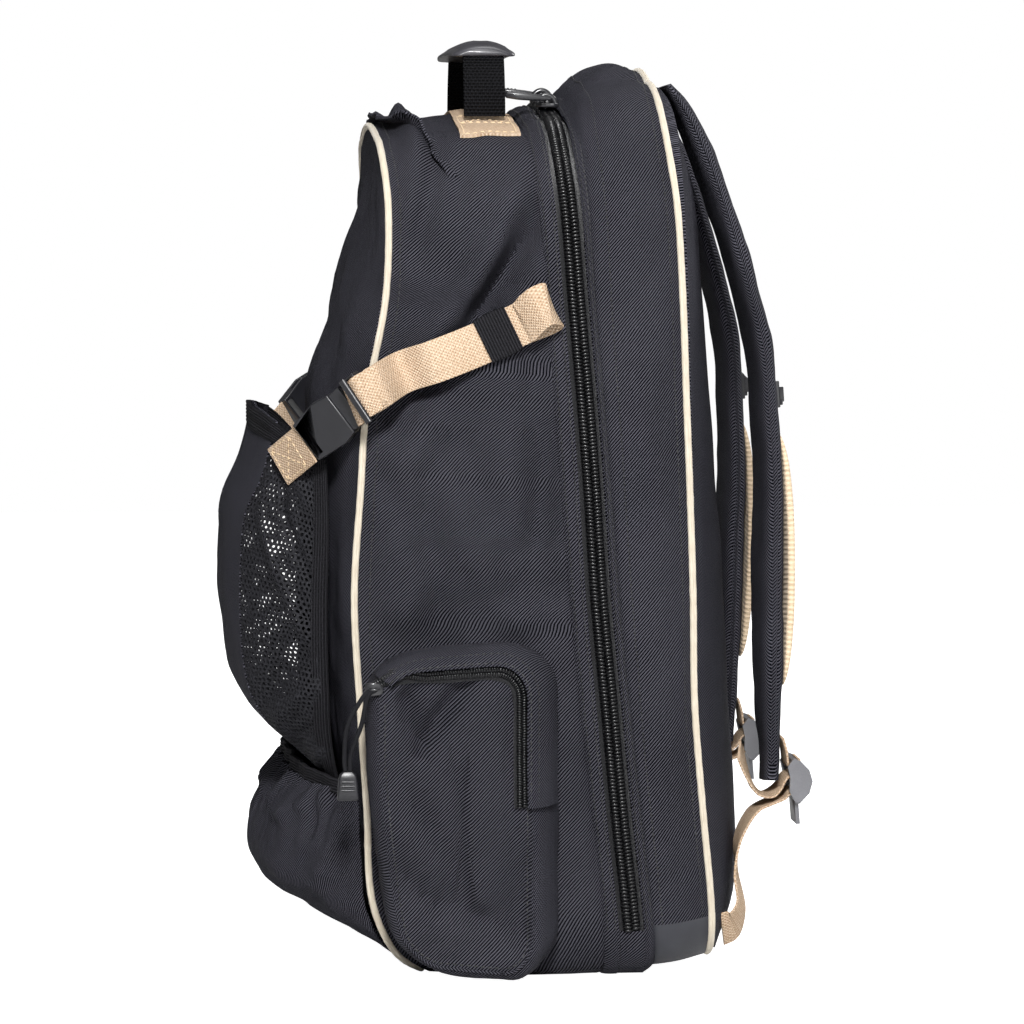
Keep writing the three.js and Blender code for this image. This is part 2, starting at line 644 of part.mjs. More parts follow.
// Side pockets
const pocketFace = sidePocketLength / 2;
const pocketMiddleZ = sidePocketFoot + sidePocketHeight / 2;
const pocketMiddleY = -64;
const pocketCornerSteps = 3;
const pocketCorners = [
  { alongY: 1, alongZ: -1, from: -90 },
  { alongY: 1, alongZ: 1, from: 0 },
  { alongY: -1, alongZ: 1, from: 90 },
  { alongY: -1, alongZ: -1, from: 180 },
];

// The pocket seen from the side, from its lower rear corner up the rear edge and round the top.
function pocketOutline(inset) {
  const [halfY, halfZ] = [pocketFace - inset, sidePocketHeight / 2 - inset];
  const radius = Math.max(sidePocketRadius - inset, 4);
  return pocketCorners.flatMap(({ alongY, alongZ, from }) => {
    const corner = Array.from({ length: pocketCornerSteps + 1 }, (_, k) => {
      const angle = THREE.MathUtils.degToRad(from + (90 * k) / pocketCornerSteps);
      return [
        alongY * (halfY - radius) + radius * Math.cos(angle),
        alongZ * (halfZ - radius) + radius * Math.sin(angle),
      ];
    });
    return alongY * alongZ < 0 ? [...corner, [alongY * halfY, 0]] : corner;
  });
}
const pocketBase = Math.max(...[-110, -60, -10].map((y) => gussetX(y, 110)));
const pocketFaceX = pocketBase + sidePocketDepth;
// From the seam on the bag out to the middle of the face.
const pocketRings = [
  { out: 0, inset: 12.6 },
  { out: 0.4, inset: 0.5 },
  { out: 0.88, inset: 1 },
  { out: 1, inset: 7 },
  { out: 1.03, inset: 24 },
];
const pocketPoint = ([y, z], x) => V(x, pocketMiddleY + y, pocketMiddleZ + z);
const pocketShell = [];
const pocketCount = pocketOutline(0).length;
for (const { out, inset } of pocketRings) {
  for (const [y, z] of pocketOutline(inset)) {
    const seat = gussetX(pocketMiddleY + y, pocketMiddleZ + z) + 4 * gap;
    pocketShell.push(pocketPoint([y, z], lerp(seat, pocketFaceX, out)));
  }
}
const pocketFaces = gridFaces(pocketRings.length, pocketCount, { closed: true });
pocketShell.push(pocketPoint([0, -8], pocketFaceX + sidePocketDepth * 0.07));
const lastPocketRing = (pocketRings.length - 1) * pocketCount;
for (let j = 0; j < pocketCount; j++) {
  pocketFaces.push([lastPocketRing + j, lastPocketRing + ((j + 1) % pocketCount), pocketShell.length - 1]);
}
addPair("side_pocket", clothWall(pocketShell, pocketFaces, cloth), "twill");

// The hood is a strip of cloth over the zip, along the pocket's top and down most of its rear edge.
const hoodRise = 1.7;
const hoodRings = [
  { out: 0.6, inset: -hoodRise },
  { out: 0.9, inset: 0.6 - hoodRise },
  { out: 1.05, inset: 11 },
];
const hoodColumns = Array.from({ length: 9 }, (_, k) => 4 + k);
const hoodPoints = hoodRings.flatMap(({ out, inset }) =>
  hoodColumns.map((k) => {
    const [y, z] = pocketOutline(inset)[k % pocketCount];
    const seat = gussetX(pocketMiddleY + y, pocketMiddleZ + z);
    return pocketPoint([y, z], lerp(seat, pocketFaceX, out) + hoodRise);
  }),
);
addPair("pocket_hood", clothWall(hoodPoints, gridFaces(hoodRings.length, hoodColumns.length), 1), "twill");

const zipInset = 13;
const pocketZipStops = hoodColumns.map((k) => {
  const [y, z] = pocketOutline(zipInset + pocketZipWidth)[k % pocketCount];
  const [outerY, outerZ] = pocketOutline(zipInset)[k % pocketCount];
  return {
    at: pocketPoint([(y + outerY) / 2, (z + outerZ) / 2], pocketFaceX + 1.6 + pocketZipHeight / 2),
    across: V(0, outerY - y, outerZ - z),
  };
});
addPair("pocket_zip", webbing(pocketZipStops, pocketZipWidth, pocketZipHeight), "zipCoil");

// A looped cord from each pocket zip's slider to a moulded end that hangs over the pocket's front corner.
const cordRadius = 1.1;
const pocketFront = pocketMiddleY - pocketFace;
const pocketCrest = sidePocketFoot + sidePocketHeight;
const pullTop = V(pocketFaceX + 5.4, pocketFront + 16, pocketCrest - 28);
const pullEnd = V(pocketFaceX - 3, pocketFront - 11, pocketCrest - 71);
const cordLoop = Array.from({ length: 12 }, (_, i) => {
  const angle = (i / 12) * 2 * Math.PI;
  const t = (1 - Math.cos(angle)) / 2;
  const at = pullTop.clone().lerp(pullEnd, t);
  return at.add(V(2 * Math.sin(Math.PI * t), -4 * Math.sin(Math.PI * t) + 3 * Math.sin(angle), 0));
});
const pullGroove = (down) => boxAt(3, 6, 1.4, pullEnd.x + 2.4, pullEnd.y, pullEnd.z - down);
const pullBlock = boxAt(5, 11, 15, pullEnd.x, pullEnd.y, pullEnd.z - 6)
  .subtract(pullGroove(4)).subtract(pullGroove(8));
const cordSolid = solidOf(bar(cordLoop, cordRadius, 4, { closed: true, outward: () => V(1, 0, 0) }));
addPair("pocket_zip_pull", geometryFrom(cordSolid.add(pullBlock)), "plastic");

// Compression straps: webbing from the gusset's seam, through an elastic keeper, to a side-release buckle
// at the sling's corner. Places are shares of the gusset's depth and of the body height.
const strapRoute = [
  { depth: 0.93, height: 0.735, stand: 2 },
  { depth: 0.97, height: 0.75, stand: 10 },
  { depth: 0.93, height: 0.761, stand: 18 },
  { depth: 0.87, height: 0.753, stand: 13 },
  { depth: 0.84, height: 0.735, stand: 5.4 },
  { depth: 0.58, height: 0.712, stand: 4 },
  { depth: 0.33, height: 0.693, stand: 3.8 },
  { depth: 0.17, height: 0.681, stand: 7 },
  { depth: 0.05, height: 0.668, stand: 14 },
];
const doubledWebbing = 2 * webbingThickness;
const strapAcross = V(0, -0.36, 0.93);
const strapMiddles = strapRoute.map(({ depth, height, stand }) => {
  const z = height * bodyHeight;
  const y = lerp(seamY("front", z), seamY("frontSeam", z), depth);
  const under = [-0.5, 0, 0.5].map((s) => s * webbingWidth)
    .map((s) => gussetX(y + s * strapAcross.y, z + s * strapAcross.z));
  return V(Math.max(...under) + stand, y, z);
});
const strapStops = strapMiddles.map((at) => ({ at, across: strapAcross }));
addPair("side_strap", webbing(strapStops, webbingWidth, doubledWebbing), "tanWebbing");

function sleeve(at, along, across, length, width, thickness, wall) {
  const outer = new THREE.BoxGeometry(length, width + 2 * wall, thickness + 2 * wall);
  const bore = solidOf(new THREE.BoxGeometry(length + 2, width, thickness));
  return laid(geometryFrom(solidOf(outer).subtract(bore)), at, along, across);
}
const keeperAt = strapMiddles[4].clone().lerp(strapMiddles[5], 0.5);
const keeperAlong = strapMiddles[5].clone().sub(strapMiddles[4]);
addPair(
  "strap_keeper",
  sleeve(keeperAt, keeperAlong, strapAcross, 20, webbingWidth + 2 * gap, doubledWebbing + 4 * gap, 1),
  "elastic",
);

// The buckle lies across the bag's front corner, from the strap's end to the patch on the sling.
const buckleTop = strapMiddles[strapMiddles.length - 1].clone().add(V(1.4, -4, -1.5));
const buckleFoot = slingPoint(1.8, 0.985).add(V(15.4, -7.4, 6));
const buckleAlong = buckleFoot.clone().sub(buckleTop).normalize();
const buckleLength = buckleFoot.distanceTo(buckleTop);
const buckleWidth = 31;
const buckleThickness = 9;
const socketLength = buckleLength * 0.5;
const socketWall = 1.8;
const inBuckle = (geometry) => laid(geometry, buckleTop, buckleAlong, strapAcross);
const socketShape = [
  [0, buckleWidth / 2 - 2],
  [socketLength * 0.35, buckleWidth / 2],
  [socketLength, buckleWidth / 2 - 2.5],
  [socketLength, -buckleWidth / 2 + 2.5],
  [socketLength * 0.35, -buckleWidth / 2],
  [0, -buckleWidth / 2 + 2],
];
const socketStart = buckleLength * 0.42;
const boreThickness = buckleThickness - 2 * socketWall;
const boreWidth = buckleWidth - 4 - 2 * socketWall;
const socketBore = boxAt(socketLength * 1.2, boreWidth, boreThickness, socketLength * 0.2, 0, 0);
const latchWindow = boxAt(socketLength * 0.42, buckleWidth + 4, boreThickness, socketLength * 0.42, 0, 0);
const webbingSlot = boxAt(4, webbingWidth - 4, buckleThickness + 2, socketLength - 3.6, 0, 0);
const socketSolid = solidOf(plateOf(socketShape, buckleThickness))
  .subtract(socketBore).subtract(latchWindow).subtract(webbingSlot).translate([socketStart, 0, 0]);
addPair("buckle_socket", inBuckle(geometryFrom(socketSolid)), "plastic");

const prongWidth = 4;
const prongThickness = boreThickness - 2 * gap;
const prongReach = socketLength * 0.62;
const plugBody = [
  [4, buckleWidth / 2 - 1.5],
  [socketStart - gap, buckleWidth / 2 - 3],
  [socketStart - gap, -buckleWidth / 2 + 3],
  [4, -buckleWidth / 2 + 1.5],
];
const prongOffset = boreWidth / 2 - prongWidth / 2 - 2 * gap;
const prongMiddle = socketStart + prongReach / 2 - 1;
const prong = (side) =>
  boxAt(prongReach + 2, prongWidth, prongThickness, prongMiddle, side * prongOffset, 0);
const plugSolid = solidOf(plateOf(plugBody, buckleThickness - 1))
  .subtract(boxAt(4, webbingWidth + 2 * gap, buckleThickness, 8, 0, 0))
  .subtract(boxAt(4, webbingWidth + 2 * gap, buckleThickness, 15, 0, 0))
  .add(prong(1)).add(prong(-1)).add(boxAt(prongReach, 3, 2, socketStart + prongReach / 2 - 2, 0, 0));
addPair("buckle_plug", inBuckle(geometryFrom(plugSolid)), "plastic");

const patchEnd = slingPoint(1.28, 0.9).add(V(6.1, -2.3, 0));
const patchStops = [0, 0.5, 1].map((t) => ({
  at: buckleFoot.clone().lerp(patchEnd, t),
  across: strapAcross,
}));
addPair("sling_patch", webbing(patchStops, webbingWidth, webbingThickness), "tanWebbing");

// Carry handle: two webbing legs in a moulded grip, sewn on a webbing patch over the top of the gusset.
const handlePlace = seamY("frontSeam", seamHeight) - handleSetback;
const patchLift = 1.8;
const patchRow = [0, 0.3, 0.5, 0.6, 0.68, 0.76].map((t) => t * frontWidth / 2);
const topPatch = [-1, -0.33, 0.33, 1].flatMap((s) => {
  const y = handlePlace + (s * patchLength) / 2;
  const row = [...patchRow.slice(1).reverse().map((x) => -x), ...patchRow];
  return row.map((x) => V(x, y, gussetAbove(x, y) + patchLift + cloth));
});
add("handle_patch", clothWall(topPatch, gridFaces(4, 2 * patchRow.length - 1), cloth), "tanWebbing");

const gripFoot = gripTop - gripThickness;
const legFoot = gussetAbove(handleSpan / 2 - 4, handlePlace + webbingWidth / 2) + patchLift + cloth + gap;
const legStops = [0, 0.35, 0.7, 1].map((t) => {
  const x = lerp(handleSpan / 2, handleSpan / 2 - 10, t * t);
  return { at: V(x, handlePlace, lerp(legFoot, gripFoot - 4 * gap, t)), across: V(0, 1, 0) };
});
addPair("handle_leg", webbing(legStops, webbingWidth, doubledWebbing), "blackWebbing");

const gripRibs = 7;
const gripOutline = [
  [-0.7, 0], [0.7, 0], [1, 0.35], [0.8, 0.8], [0.35, 1], [-0.35, 1], [-0.8, 0.8], [-1, 0.35],
];
const gripSections = Array.from({ length: 2 * gripRibs + 1 }, (_, i) => {
  const x = (i / gripRibs - 1) * (gripLength / 2);
  const rib = i % 2 ? 1 : 0.86;
  const end = 1 - 0.25 * Math.abs(x / (gripLength / 2)) ** 4;
  const [w, t] = [(gripWidth / 2) * end, gripThickness * rib];
  const arch = 2 * (1 - (x / (gripLength / 2)) ** 2);
  return gripOutline.map(([u, v]) => V(x, handlePlace + u * w, gripFoot + v * t + (v > 0 ? arch : 0)));
});
add("handle_grip", loft(gripSections), "plastic");

// Main zip sliders, drawn together at the top, each with its pull.
const coilAbove = meetingOf(coil, "z");
const sliderPlate = 2.4;
const sliderShape = [[-9, -4], [-4, -7], [6, -7], [9, -4], [9, 4], [6, 7], [-4, 7], [-9, 4]];
const sliderBody = () => solidOf(plateOf(sliderShape, sliderPlate))
  .add(boxAt(11, 2.4, 3.4, 0, 0, 2)).subtract(boxAt(6, 4, 2, 0, 0, 2.2));
const pullShape = [[-13, -3.5], [13, -5], [15, -2], [15, 2], [13, 5], [-13, 3.5]];
const pullEye = [[-10, -1.5], [-10, 1.5], [-6, 1.5], [-6, -1.5]];
[-1, 1].forEach((side) => {
  const name = side < 0 ? "left" : "right";
  const x = 46 + side * 15;
  const y = seamY("zip", zipHeight);
  const at = V(x, y, Math.max(coilAbove(x - 9, y), coilAbove(x + 9, y)) + gap + sliderPlate / 2);
  add("main_slider_" + name, laid(geometryFrom(sliderBody()), at, V(side, 0, 0), V(0, side, 0)), "plastic");
  const tab = plateOf(pullShape, 2, [pullEye]);
  const tabAt = at.clone().add(V(side * 13, -12, 5.3));
  add("main_pull_" + name, laid(tab, tabAt, V(side * 0.5, -1, 0.1), V(1, side * 0.5, 0)), "plastic");
});

// Shoulder straps. Heights are shares of the root's height, middles and thicknesses of the body depth.
const shoulderProfile = [
  { at: 0.999, middle: 0.944, thick: 0.03, width: 0.8 },
  { at: 0.975, middle: 0.99, thick: 0.045, width: 0.85 },
  { at: 0.92, middle: 1.06, thick: 0.06, width: 0.9 },
  { at: 0.85, middle: 1.125, thick: 0.06, width: 0.95 },
  { at: 0.78, middle: 1.18, thick: 0.06, width: 1.0 },
  { at: 0.7, middle: 1.23, thick: 0.06, width: 1.0 },
  { at: 0.62, middle: 1.246, thick: 0.058, width: 1.0 },
  { at: 0.54, middle: 1.256, thick: 0.062, width: 1.0 },
  { at: 0.46, middle: 1.252, thick: 0.07, width: 0.98 },
  { at: 0.38, middle: 1.25, thick: 0.07, width: 0.92 },
  { at: 0.3, middle: 1.25, thick: 0.065, width: 0.74 },
  { at: 0.24, middle: 1.252, thick: 0.05, width: 0.5 },
  { at: 0.207, middle: 1.25, thick: 0.045, width: 0.42 },
];
const shoulderRising = [...shoulderProfile].reverse();
const shoulderMiddle = (at) => {
  const sway = (strapLowPlace - strapTopPlace) * clamp((1 - at) / 0.8, 0, 1) ** 1.3;
  const y = frontPlace + bodyDepth * columnOf(shoulderRising, "middle", at);
  return V(strapTopPlace + sway, y, at * (rearHeight - strapDrop));
};
// The directions down a strap, across it and out from its face.
const shoulderFrame = (at) => {
  const ahead = shoulderMiddle(at - 0.01).sub(shoulderMiddle(at + 0.01)).normalize();
  const across = V(1, 0, 0).addScaledVector(ahead, -ahead.x).normalize();
  return { ahead, across, out: across.clone().cross(ahead) };
};
const padCorners = [
  [-1, -0.3], [-0.86, -1], [0.86, -1], [1, -0.3], [1, 0.3], [0.86, 1], [-0.86, 1], [-1, 0.3],
];
const shoulderSections = shoulderProfile.map(({ at, thick, width }) => {
  const { across, out } = shoulderFrame(at);
  return padCorners.map(([u, v]) => shoulderMiddle(at)
    .addScaledVector(across, (u * width * strapWidth) / 2)
    .addScaledVector(out, (v * thick * bodyDepth) / 2));
});
addPair("shoulder_strap", loft(shoulderSections), "twill");

// A point that stands off the outer face of a shoulder strap.
const offStrap = (at, stand) => {
  const halfThick = (columnOf(shoulderRising, "thick", at) * bodyDepth) / 2;
  return shoulderMiddle(at).addScaledVector(shoulderFrame(at).out, halfThick + stand);
};
const liningStops = [0.58, 0.54, 0.46, 0.38, 0.33].map((at) => ({
  at: offStrap(at, gap + liningThickness / 2), across: shoulderFrame(at).across,
}));
addPair("strap_lining", webbing(liningStops, liningWidth, liningThickness), "tanWebbing");

const sliderStation = 0.645;
const { ahead: sliderAhead, across: sliderAcross } = shoulderFrame(sliderStation);
const slideBlock = boxAt(16, 30, 2.4).add(boxAt(9, 20, 3.6, 0, 0, -2.6)).add(boxAt(3, 24, 2.4, 5, 0, -2));
addPair(
  "chest_slider",
  laid(geometryFrom(slideBlock), offStrap(sliderStation, 1.5), sliderAhead, sliderAcross),
  "plastic",
);

// Ladder locks. Their places run down the lock and out from the wearer's side, from its upper inner corner.
const rearPlace = frontPlace + bodyDepth; // Y of the rear piping where its share of the depth is one
const lockTop = offStrap(0.235, 7.8).setX(shoulderMiddle(0.235).x);
const lockLean = 0.08;
const inLock = (down, out) => lockTop.clone().add(V(0, out + lockLean * down, lockLean * out - down));
const cheek = [
  [0, 0], [2, 4], [8, 9], [15, 10.5], [22, 8], [27, 2.5], [27, -1], [20, -4], [12, -3], [5, -4],
];
const lockHalf = 15.5;
const cheekThickness = 2.4;
const lockBars = [
  { down: 2.5, out: 0.5, wide: 3, deep: 3 },
  { down: 16, out: 0.5, wide: 3, deep: 4 },
  { down: 26, out: 0.8, wide: 4, deep: 3 },
];
const cheekAt = (x) => solidOf(plateOf(cheek, cheekThickness)).translate([0, 0, x]);
let lockSolid = cheekAt(lockHalf).add(cheekAt(-lockHalf));
for (const { down, out, wide, deep } of lockBars) {
  lockSolid = lockSolid.add(boxAt(wide, deep, 2 * lockHalf, down, out, 0));
}
lockSolid = lockSolid.add(boxAt(14, 2.4, 22, 34, 0.4, 0));
const lockPlace = new THREE.Matrix4().makeBasis(
  V(0, lockLean, -1).normalize(), V(0, 1, lockLean).normalize(), V(1, 0, 0),
).setPosition(lockTop);
addPair("ladder_lock", geometryFrom(lockSolid).applyMatrix4(lockPlace), "plastic");

const lockAcross = V(1, 0, 0);
const loopRoute = [[-12, -5], [-4, -3.4], [4.5, -2.8], [7.2, -0.6], [6, 3.2], [1.5, 4]];
const loopStops = loopRoute.map(([down, out]) => ({ at: inLock(down, out), across: lockAcross }));
addPair("strap_loop", webbing(loopStops, webbingWidth, webbingThickness), "tanWebbing");

// Each lower webbing rises from the bag's foot, turns round the lock's middle bar and ends in a free tail.
const roundLock = [
  [25, -8], [21.5, -2], [21, 3], [18.5, 6.6], [14.5, 7], [11.3, 4], [10.6, 0], [12.6, -4.4], [18.5, -9],
];
const fromLock = (x, y, z) => lockTop.clone().add(V(x, y, z));
const lowerRoot = [130, 24];
const rootY = meetingOf(backPad, "y")(...lowerRoot) + 4 * gap;
const lowerStops = [
  { at: V(lowerRoot[0], rootY, lowerRoot[1]), across: V(0.45, 0, 0.9) },
  { at: V(128, rearPlace + 25, 27), across: V(0.6, -0.2, 0.77) },
  { at: V(124, rearPlace + 29.5, 38), across: V(0.85, -0.3, 0.4) },
  { at: V(119, rearPlace + 27.5, 56), across: V(0.95, -0.2, 0.1) },
  { at: fromLock(15, -33, -48), across: lockAcross },
  { at: fromLock(7, -23, -33), across: lockAcross },
  ...roundLock.map(([down, out]) => ({ at: inLock(down, out), across: lockAcross })),
  { at: fromLock(3, -15, -23), across: lockAcross },
  { at: fromLock(6, -22, -19.5), across: V(1, -0.1, 0.1) },
  { at: fromLock(10, -27.5, -9), across: V(0.9, -0.25, 0.2) },
  { at: fromLock(14, -33, 5), across: V(0.8, -0.3, 0.2) },
];
addPair("lower_webbing", webbing(lowerStops, webbingWidth, webbingThickness), "tanWebbing");

// The whole bag is set down with its foot on the ground and its middle over the origin.
const extent = new THREE.Box3().setFromObject(backpack);
backpack.position.set(0, -(extent.min.y + extent.max.y) / 2, -extent.min.z);

export default backpack;
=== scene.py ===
import math

import bmesh
import bpy
import numpy as np
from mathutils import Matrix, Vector, noise
from mathutils.bvhtree import BVHTree


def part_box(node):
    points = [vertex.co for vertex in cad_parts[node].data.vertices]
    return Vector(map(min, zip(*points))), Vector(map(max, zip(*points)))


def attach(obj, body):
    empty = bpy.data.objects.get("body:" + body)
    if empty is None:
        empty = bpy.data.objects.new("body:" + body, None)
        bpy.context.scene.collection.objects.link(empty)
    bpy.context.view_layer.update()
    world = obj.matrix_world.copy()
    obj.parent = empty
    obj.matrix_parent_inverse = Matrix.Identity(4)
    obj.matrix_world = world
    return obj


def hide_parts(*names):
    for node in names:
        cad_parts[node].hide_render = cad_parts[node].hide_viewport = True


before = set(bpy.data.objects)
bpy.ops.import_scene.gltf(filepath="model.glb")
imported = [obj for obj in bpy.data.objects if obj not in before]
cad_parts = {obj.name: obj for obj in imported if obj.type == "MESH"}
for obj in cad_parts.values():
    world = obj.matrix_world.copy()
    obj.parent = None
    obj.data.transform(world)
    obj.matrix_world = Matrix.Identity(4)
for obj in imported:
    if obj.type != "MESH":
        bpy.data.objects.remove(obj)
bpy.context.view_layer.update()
scene = bpy.context.scene

# ---------------------------------------------------------------- Studio
# A pale floor under soft lamps, and the camera at the bag's right side, a little ahead of square on and a little
# above it, as the bag was photographed.
HANDLE_PLACE = -37.72
grip_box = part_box("handle_grip")
BAG_SHIFT = np.array([0, (grip_box[0][1] + grip_box[1][1]) * 500 - HANDLE_PLACE, 0])


def metres(points):
    return (np.asarray(points, float) + BAG_SHIFT) / 1000


def add_to_scene(name, data):
    made = bpy.data.objects.new(name, data)
    scene.collection.objects.link(made)
    return made


CAMERA_AZIMUTH, CAMERA_ELEVATION, CAMERA_DISTANCE = math.radians(85), math.radians(4.5), 2.6
camera_target = Vector(metres([0, -15, 266]))
towards_camera = Vector((
    math.sin(CAMERA_AZIMUTH) * math.cos(CAMERA_ELEVATION),
    -math.cos(CAMERA_AZIMUTH) * math.cos(CAMERA_ELEVATION),
    math.sin(CAMERA_ELEVATION),
))
camera = add_to_scene("camera", bpy.data.cameras.new("camera"))
camera.data.lens = 146.3
camera.data.sensor_width = 36
camera.data.clip_end = 60
camera.location = camera_target + towards_camera * CAMERA_DISTANCE
camera.rotation_euler = (-towards_camera).to_track_quat("-Z", "Y").to_euler()
scene.camera = camera
scene.view_settings.view_transform = "Standard"

floor_mesh = bpy.data.meshes.new("studio_floor")
FLOOR_REACH = 3.4
floor_mesh.from_pydata([(x, y, 0) for x, y in ((-1, -1), (1, -1), (1, 1), (-1, 1))], [], [(0, 1, 2, 3)])
floor = add_to_scene("studio_floor", floor_mesh)
floor.scale = (FLOOR_REACH, FLOOR_REACH, 1)
floor_finish = bpy.data.materials.new("studio_floor")
floor_finish.use_nodes = True
floor_shader = floor_finish.node_tree.nodes["Principled BSDF"]
floor_shader.inputs["Base Color"].default_value = (0.7, 0.7, 0.7, 1)
floor_shader.inputs["Roughness"].default_value = 0.7
floor_shader.inputs["Emission Color"].default_value = (1, 1, 1, 1)
floor_seen = floor_finish.node_tree.nodes.new("ShaderNodeLightPath")
floor_finish.node_tree.links.new(floor_seen.outputs["Is Camera Ray"], floor_shader.inputs["Emission Strength"])
floor_mesh.materials.append(floor_finish)

scene.world = scene.world or bpy.data.worlds.new("studio")
scene.world.use_nodes = True
sky = scene.world.node_tree.nodes["Background"]
sky.inputs["Color"].default_value = (1, 1, 1, 1)
seen = scene.world.node_tree.nodes.new("ShaderNodeLightPath")  # the sweep is white to the eye and soft as a light
glow = scene.world.node_tree.nodes.new("ShaderNodeMapRange")
glow.inputs["To Min"].default_value, glow.inputs["To Max"].default_value = 0.13, 1.0
scene.world.node_tree.links.new(seen.outputs["Is Camera Ray"], glow.inputs["Value"])
scene.world.node_tree.links.new(glow.outputs[0], sky.inputs["Strength"])

LAMPS = [
    # name, place (metres), width, height, watts
    ("key", (2.1, -0.15, 1.35), 0.35, 0.35, 80),
    ("side_fill", (2.6, 0.9, 0.9), 1.4, 1.4, 7),
    ("rear_rim", (-1.2, 2.0, 1.5), 1.0, 1.4, 40),
    ("front_rim", (-1.5, -1.8, 1.3), 1.0, 1.4, 2),
    ("top", (0.3, 0.2, 2.6), 1.2, 1.2, 20),
]
for name, place, width, height, watts in LAMPS:
    lamp = add_to_scene("lamp_" + name, bpy.data.lights.new("lamp_" + name, "AREA"))
    lamp.data.shape = "RECTANGLE"
    lamp.data.size, lamp.data.size_y, lamp.data.energy = width, height, watts
    lamp.location = place
    lamp.rotation_euler = (Vector((0, 0, 0.25)) - Vector(place)).to_track_quat("-Z", "Y").to_euler()

# ---------------------------------------------------------------- Pull cords
# Two strands of thin black cord on each side pocket's zip pull, from the slider down to a moulded end. They hang
# over the pocket's front corner and are moulded into the end at the bottom.


def finish_of(name, colour, roughness, coat=0.0, sheen=0.0, specular=0.5):
    made = bpy.data.materials.new(name)
    made.use_nodes = True
    shader = made.node_tree.nodes["Principled BSDF"]
    shader.inputs["Base Color"].default_value = (*colour, 1)
    shader.inputs["Roughness"].default_value = roughness
    shader.inputs["Coat Weight"].default_value = coat
    shader.inputs["Sheen Weight"].default_value = sheen
    shader.inputs["Sheen Roughness"].default_value = 0.4
    shader.inputs["Specular IOR Level"].default_value = specular
    return made


def node_in(finish, kind, inputs, **settings):
    made = finish.node_tree.nodes.new(kind)
    for key, value in settings.items():
        setattr(made, key, value)
    for key, value in inputs.items():
        if isinstance(value, bpy.types.NodeSocket):
            finish.node_tree.links.new(value, made.inputs[key])
        else:
            made.inputs[key].default_value = value
    return made


def maths(finish, operation, first, second=0.0, third=0.0):
    return node_in(finish, "ShaderNodeMath", {0: first, 1: second, 2: third}, operation=operation).outputs[0]


def along_cloth(finish):
    """The three numbers that each point of a piece carries: millimetres along it, across it, and its wear."""
    lay = node_in(finish, "ShaderNodeAttribute", {}, attribute_name="lay")
    parts = node_in(finish, "ShaderNodeSeparateXYZ", {0: lay.outputs["Vector"]})
    return parts.outputs[0], parts.outputs[1], parts.outputs[2], lay.outputs["Vector"]


def waves(finish, distance, pitch, shift=0.0):
    """A sine from -1 to 1 that repeats every pitch."""
    turned = maths(finish, "MULTIPLY_ADD", distance, 2 * math.pi / pitch, shift)
    return maths(finish, "SINE", turned)


def speckle(finish, vector, scale, detail=2.0):
    return node_in(
        finish, "ShaderNodeTexNoise", {"Vector": vector, "Scale": scale, "Detail": detail}
    ).outputs["Fac"]


def coloured(finish, share, stops):
    """Base colour from a ramp; stops are (share, colour)."""
    ramp = node_in(finish, "ShaderNodeValToRGB", {0: share})
    points = ramp.color_ramp.elements
    while len(points) < len(stops):
        points.new(0.5)
    for point, (at, colour) in zip(points, stops):
        point.position = at
        point.color = (*colour, 1)
    finish.node_tree.links.new(
        ramp.outputs["Color"], finish.node_tree.nodes["Principled BSDF"].inputs["Base Color"]
    )


def raised(finish, height, depth, strength=0.8):
    """Bump of a depth in millimetres."""
    bump = node_in(
        finish, "ShaderNodeBump", {"Height": height, "Distance": depth / 1000, "Strength": strength}
    )
    shader = finish.node_tree.nodes["Principled BSDF"]
    finish.node_tree.links.new(bump.outputs["Normal"], shader.inputs["Normal"])


def roughened(finish, share, low, high):
    spread = node_in(finish, "ShaderNodeMapRange", {0: share, 3: low, 4: high})
    shader = finish.node_tree.nodes["Principled BSDF"]
    finish.node_tree.links.new(spread.outputs[0], shader.inputs["Roughness"])


def object_place(finish):
    return node_in(finish, "ShaderNodeTexCoord", {}).outputs["Object"]


def moulded_plastic(name, colour, roughness, coat=0.0):
    made = finish_of(name, colour, roughness, coat=coat)
    place = object_place(made)
    grain = speckle(made, place, 1400, 3)
    patch = speckle(made, place, 60, 3)
    light = tuple(min(1, 1.7 * c + 0.004) for c in colour)
    coloured(made, maths(made, "MULTIPLY_ADD", patch, 0.6, maths(made, "MULTIPLY", grain, 0.3)),
             [(0.25, colour), (0.75, light)])
    roughened(made, patch, roughness - 0.08, roughness + 0.12)
    raised(made, grain, 0.05, 0.5)
    return made


plastic = moulded_plastic("moulded_dark_plastic", (0.007, 0.007, 0.009), 0.34)


def ribbed_cord(name, colour, pitch):
    made = finish_of(name, colour, 0.8, specular=0.1)
    along, across, _, lay = along_cloth(made)
    twist = waves(made, maths(made, "ADD", along, across), pitch)
    coloured(made, maths(made, "MULTIPLY_ADD", twist, 0.4, 0.5),
             [(0.0, tuple(0.5 * c for c in colour)), (1.0, tuple(1.5 * c for c in colour))])
    raised(made, twist, 0.15)
    return made


cord_finish = ribbed_cord("black_cord", (0.012, 0.012, 0.014), 0.9)


def resampled(line, count):
    """The same polyline with points evenly spaced along it."""
    line = np.asarray(line, float)
    run = np.concatenate([[0], np.cumsum(np.linalg.norm(np.diff(line, axis=0), axis=1))])
    at = np.linspace(0, run[-1], count)
    return np.stack([np.interp(at, run, line[:, k]) for k in range(line.shape[1])], axis=1)


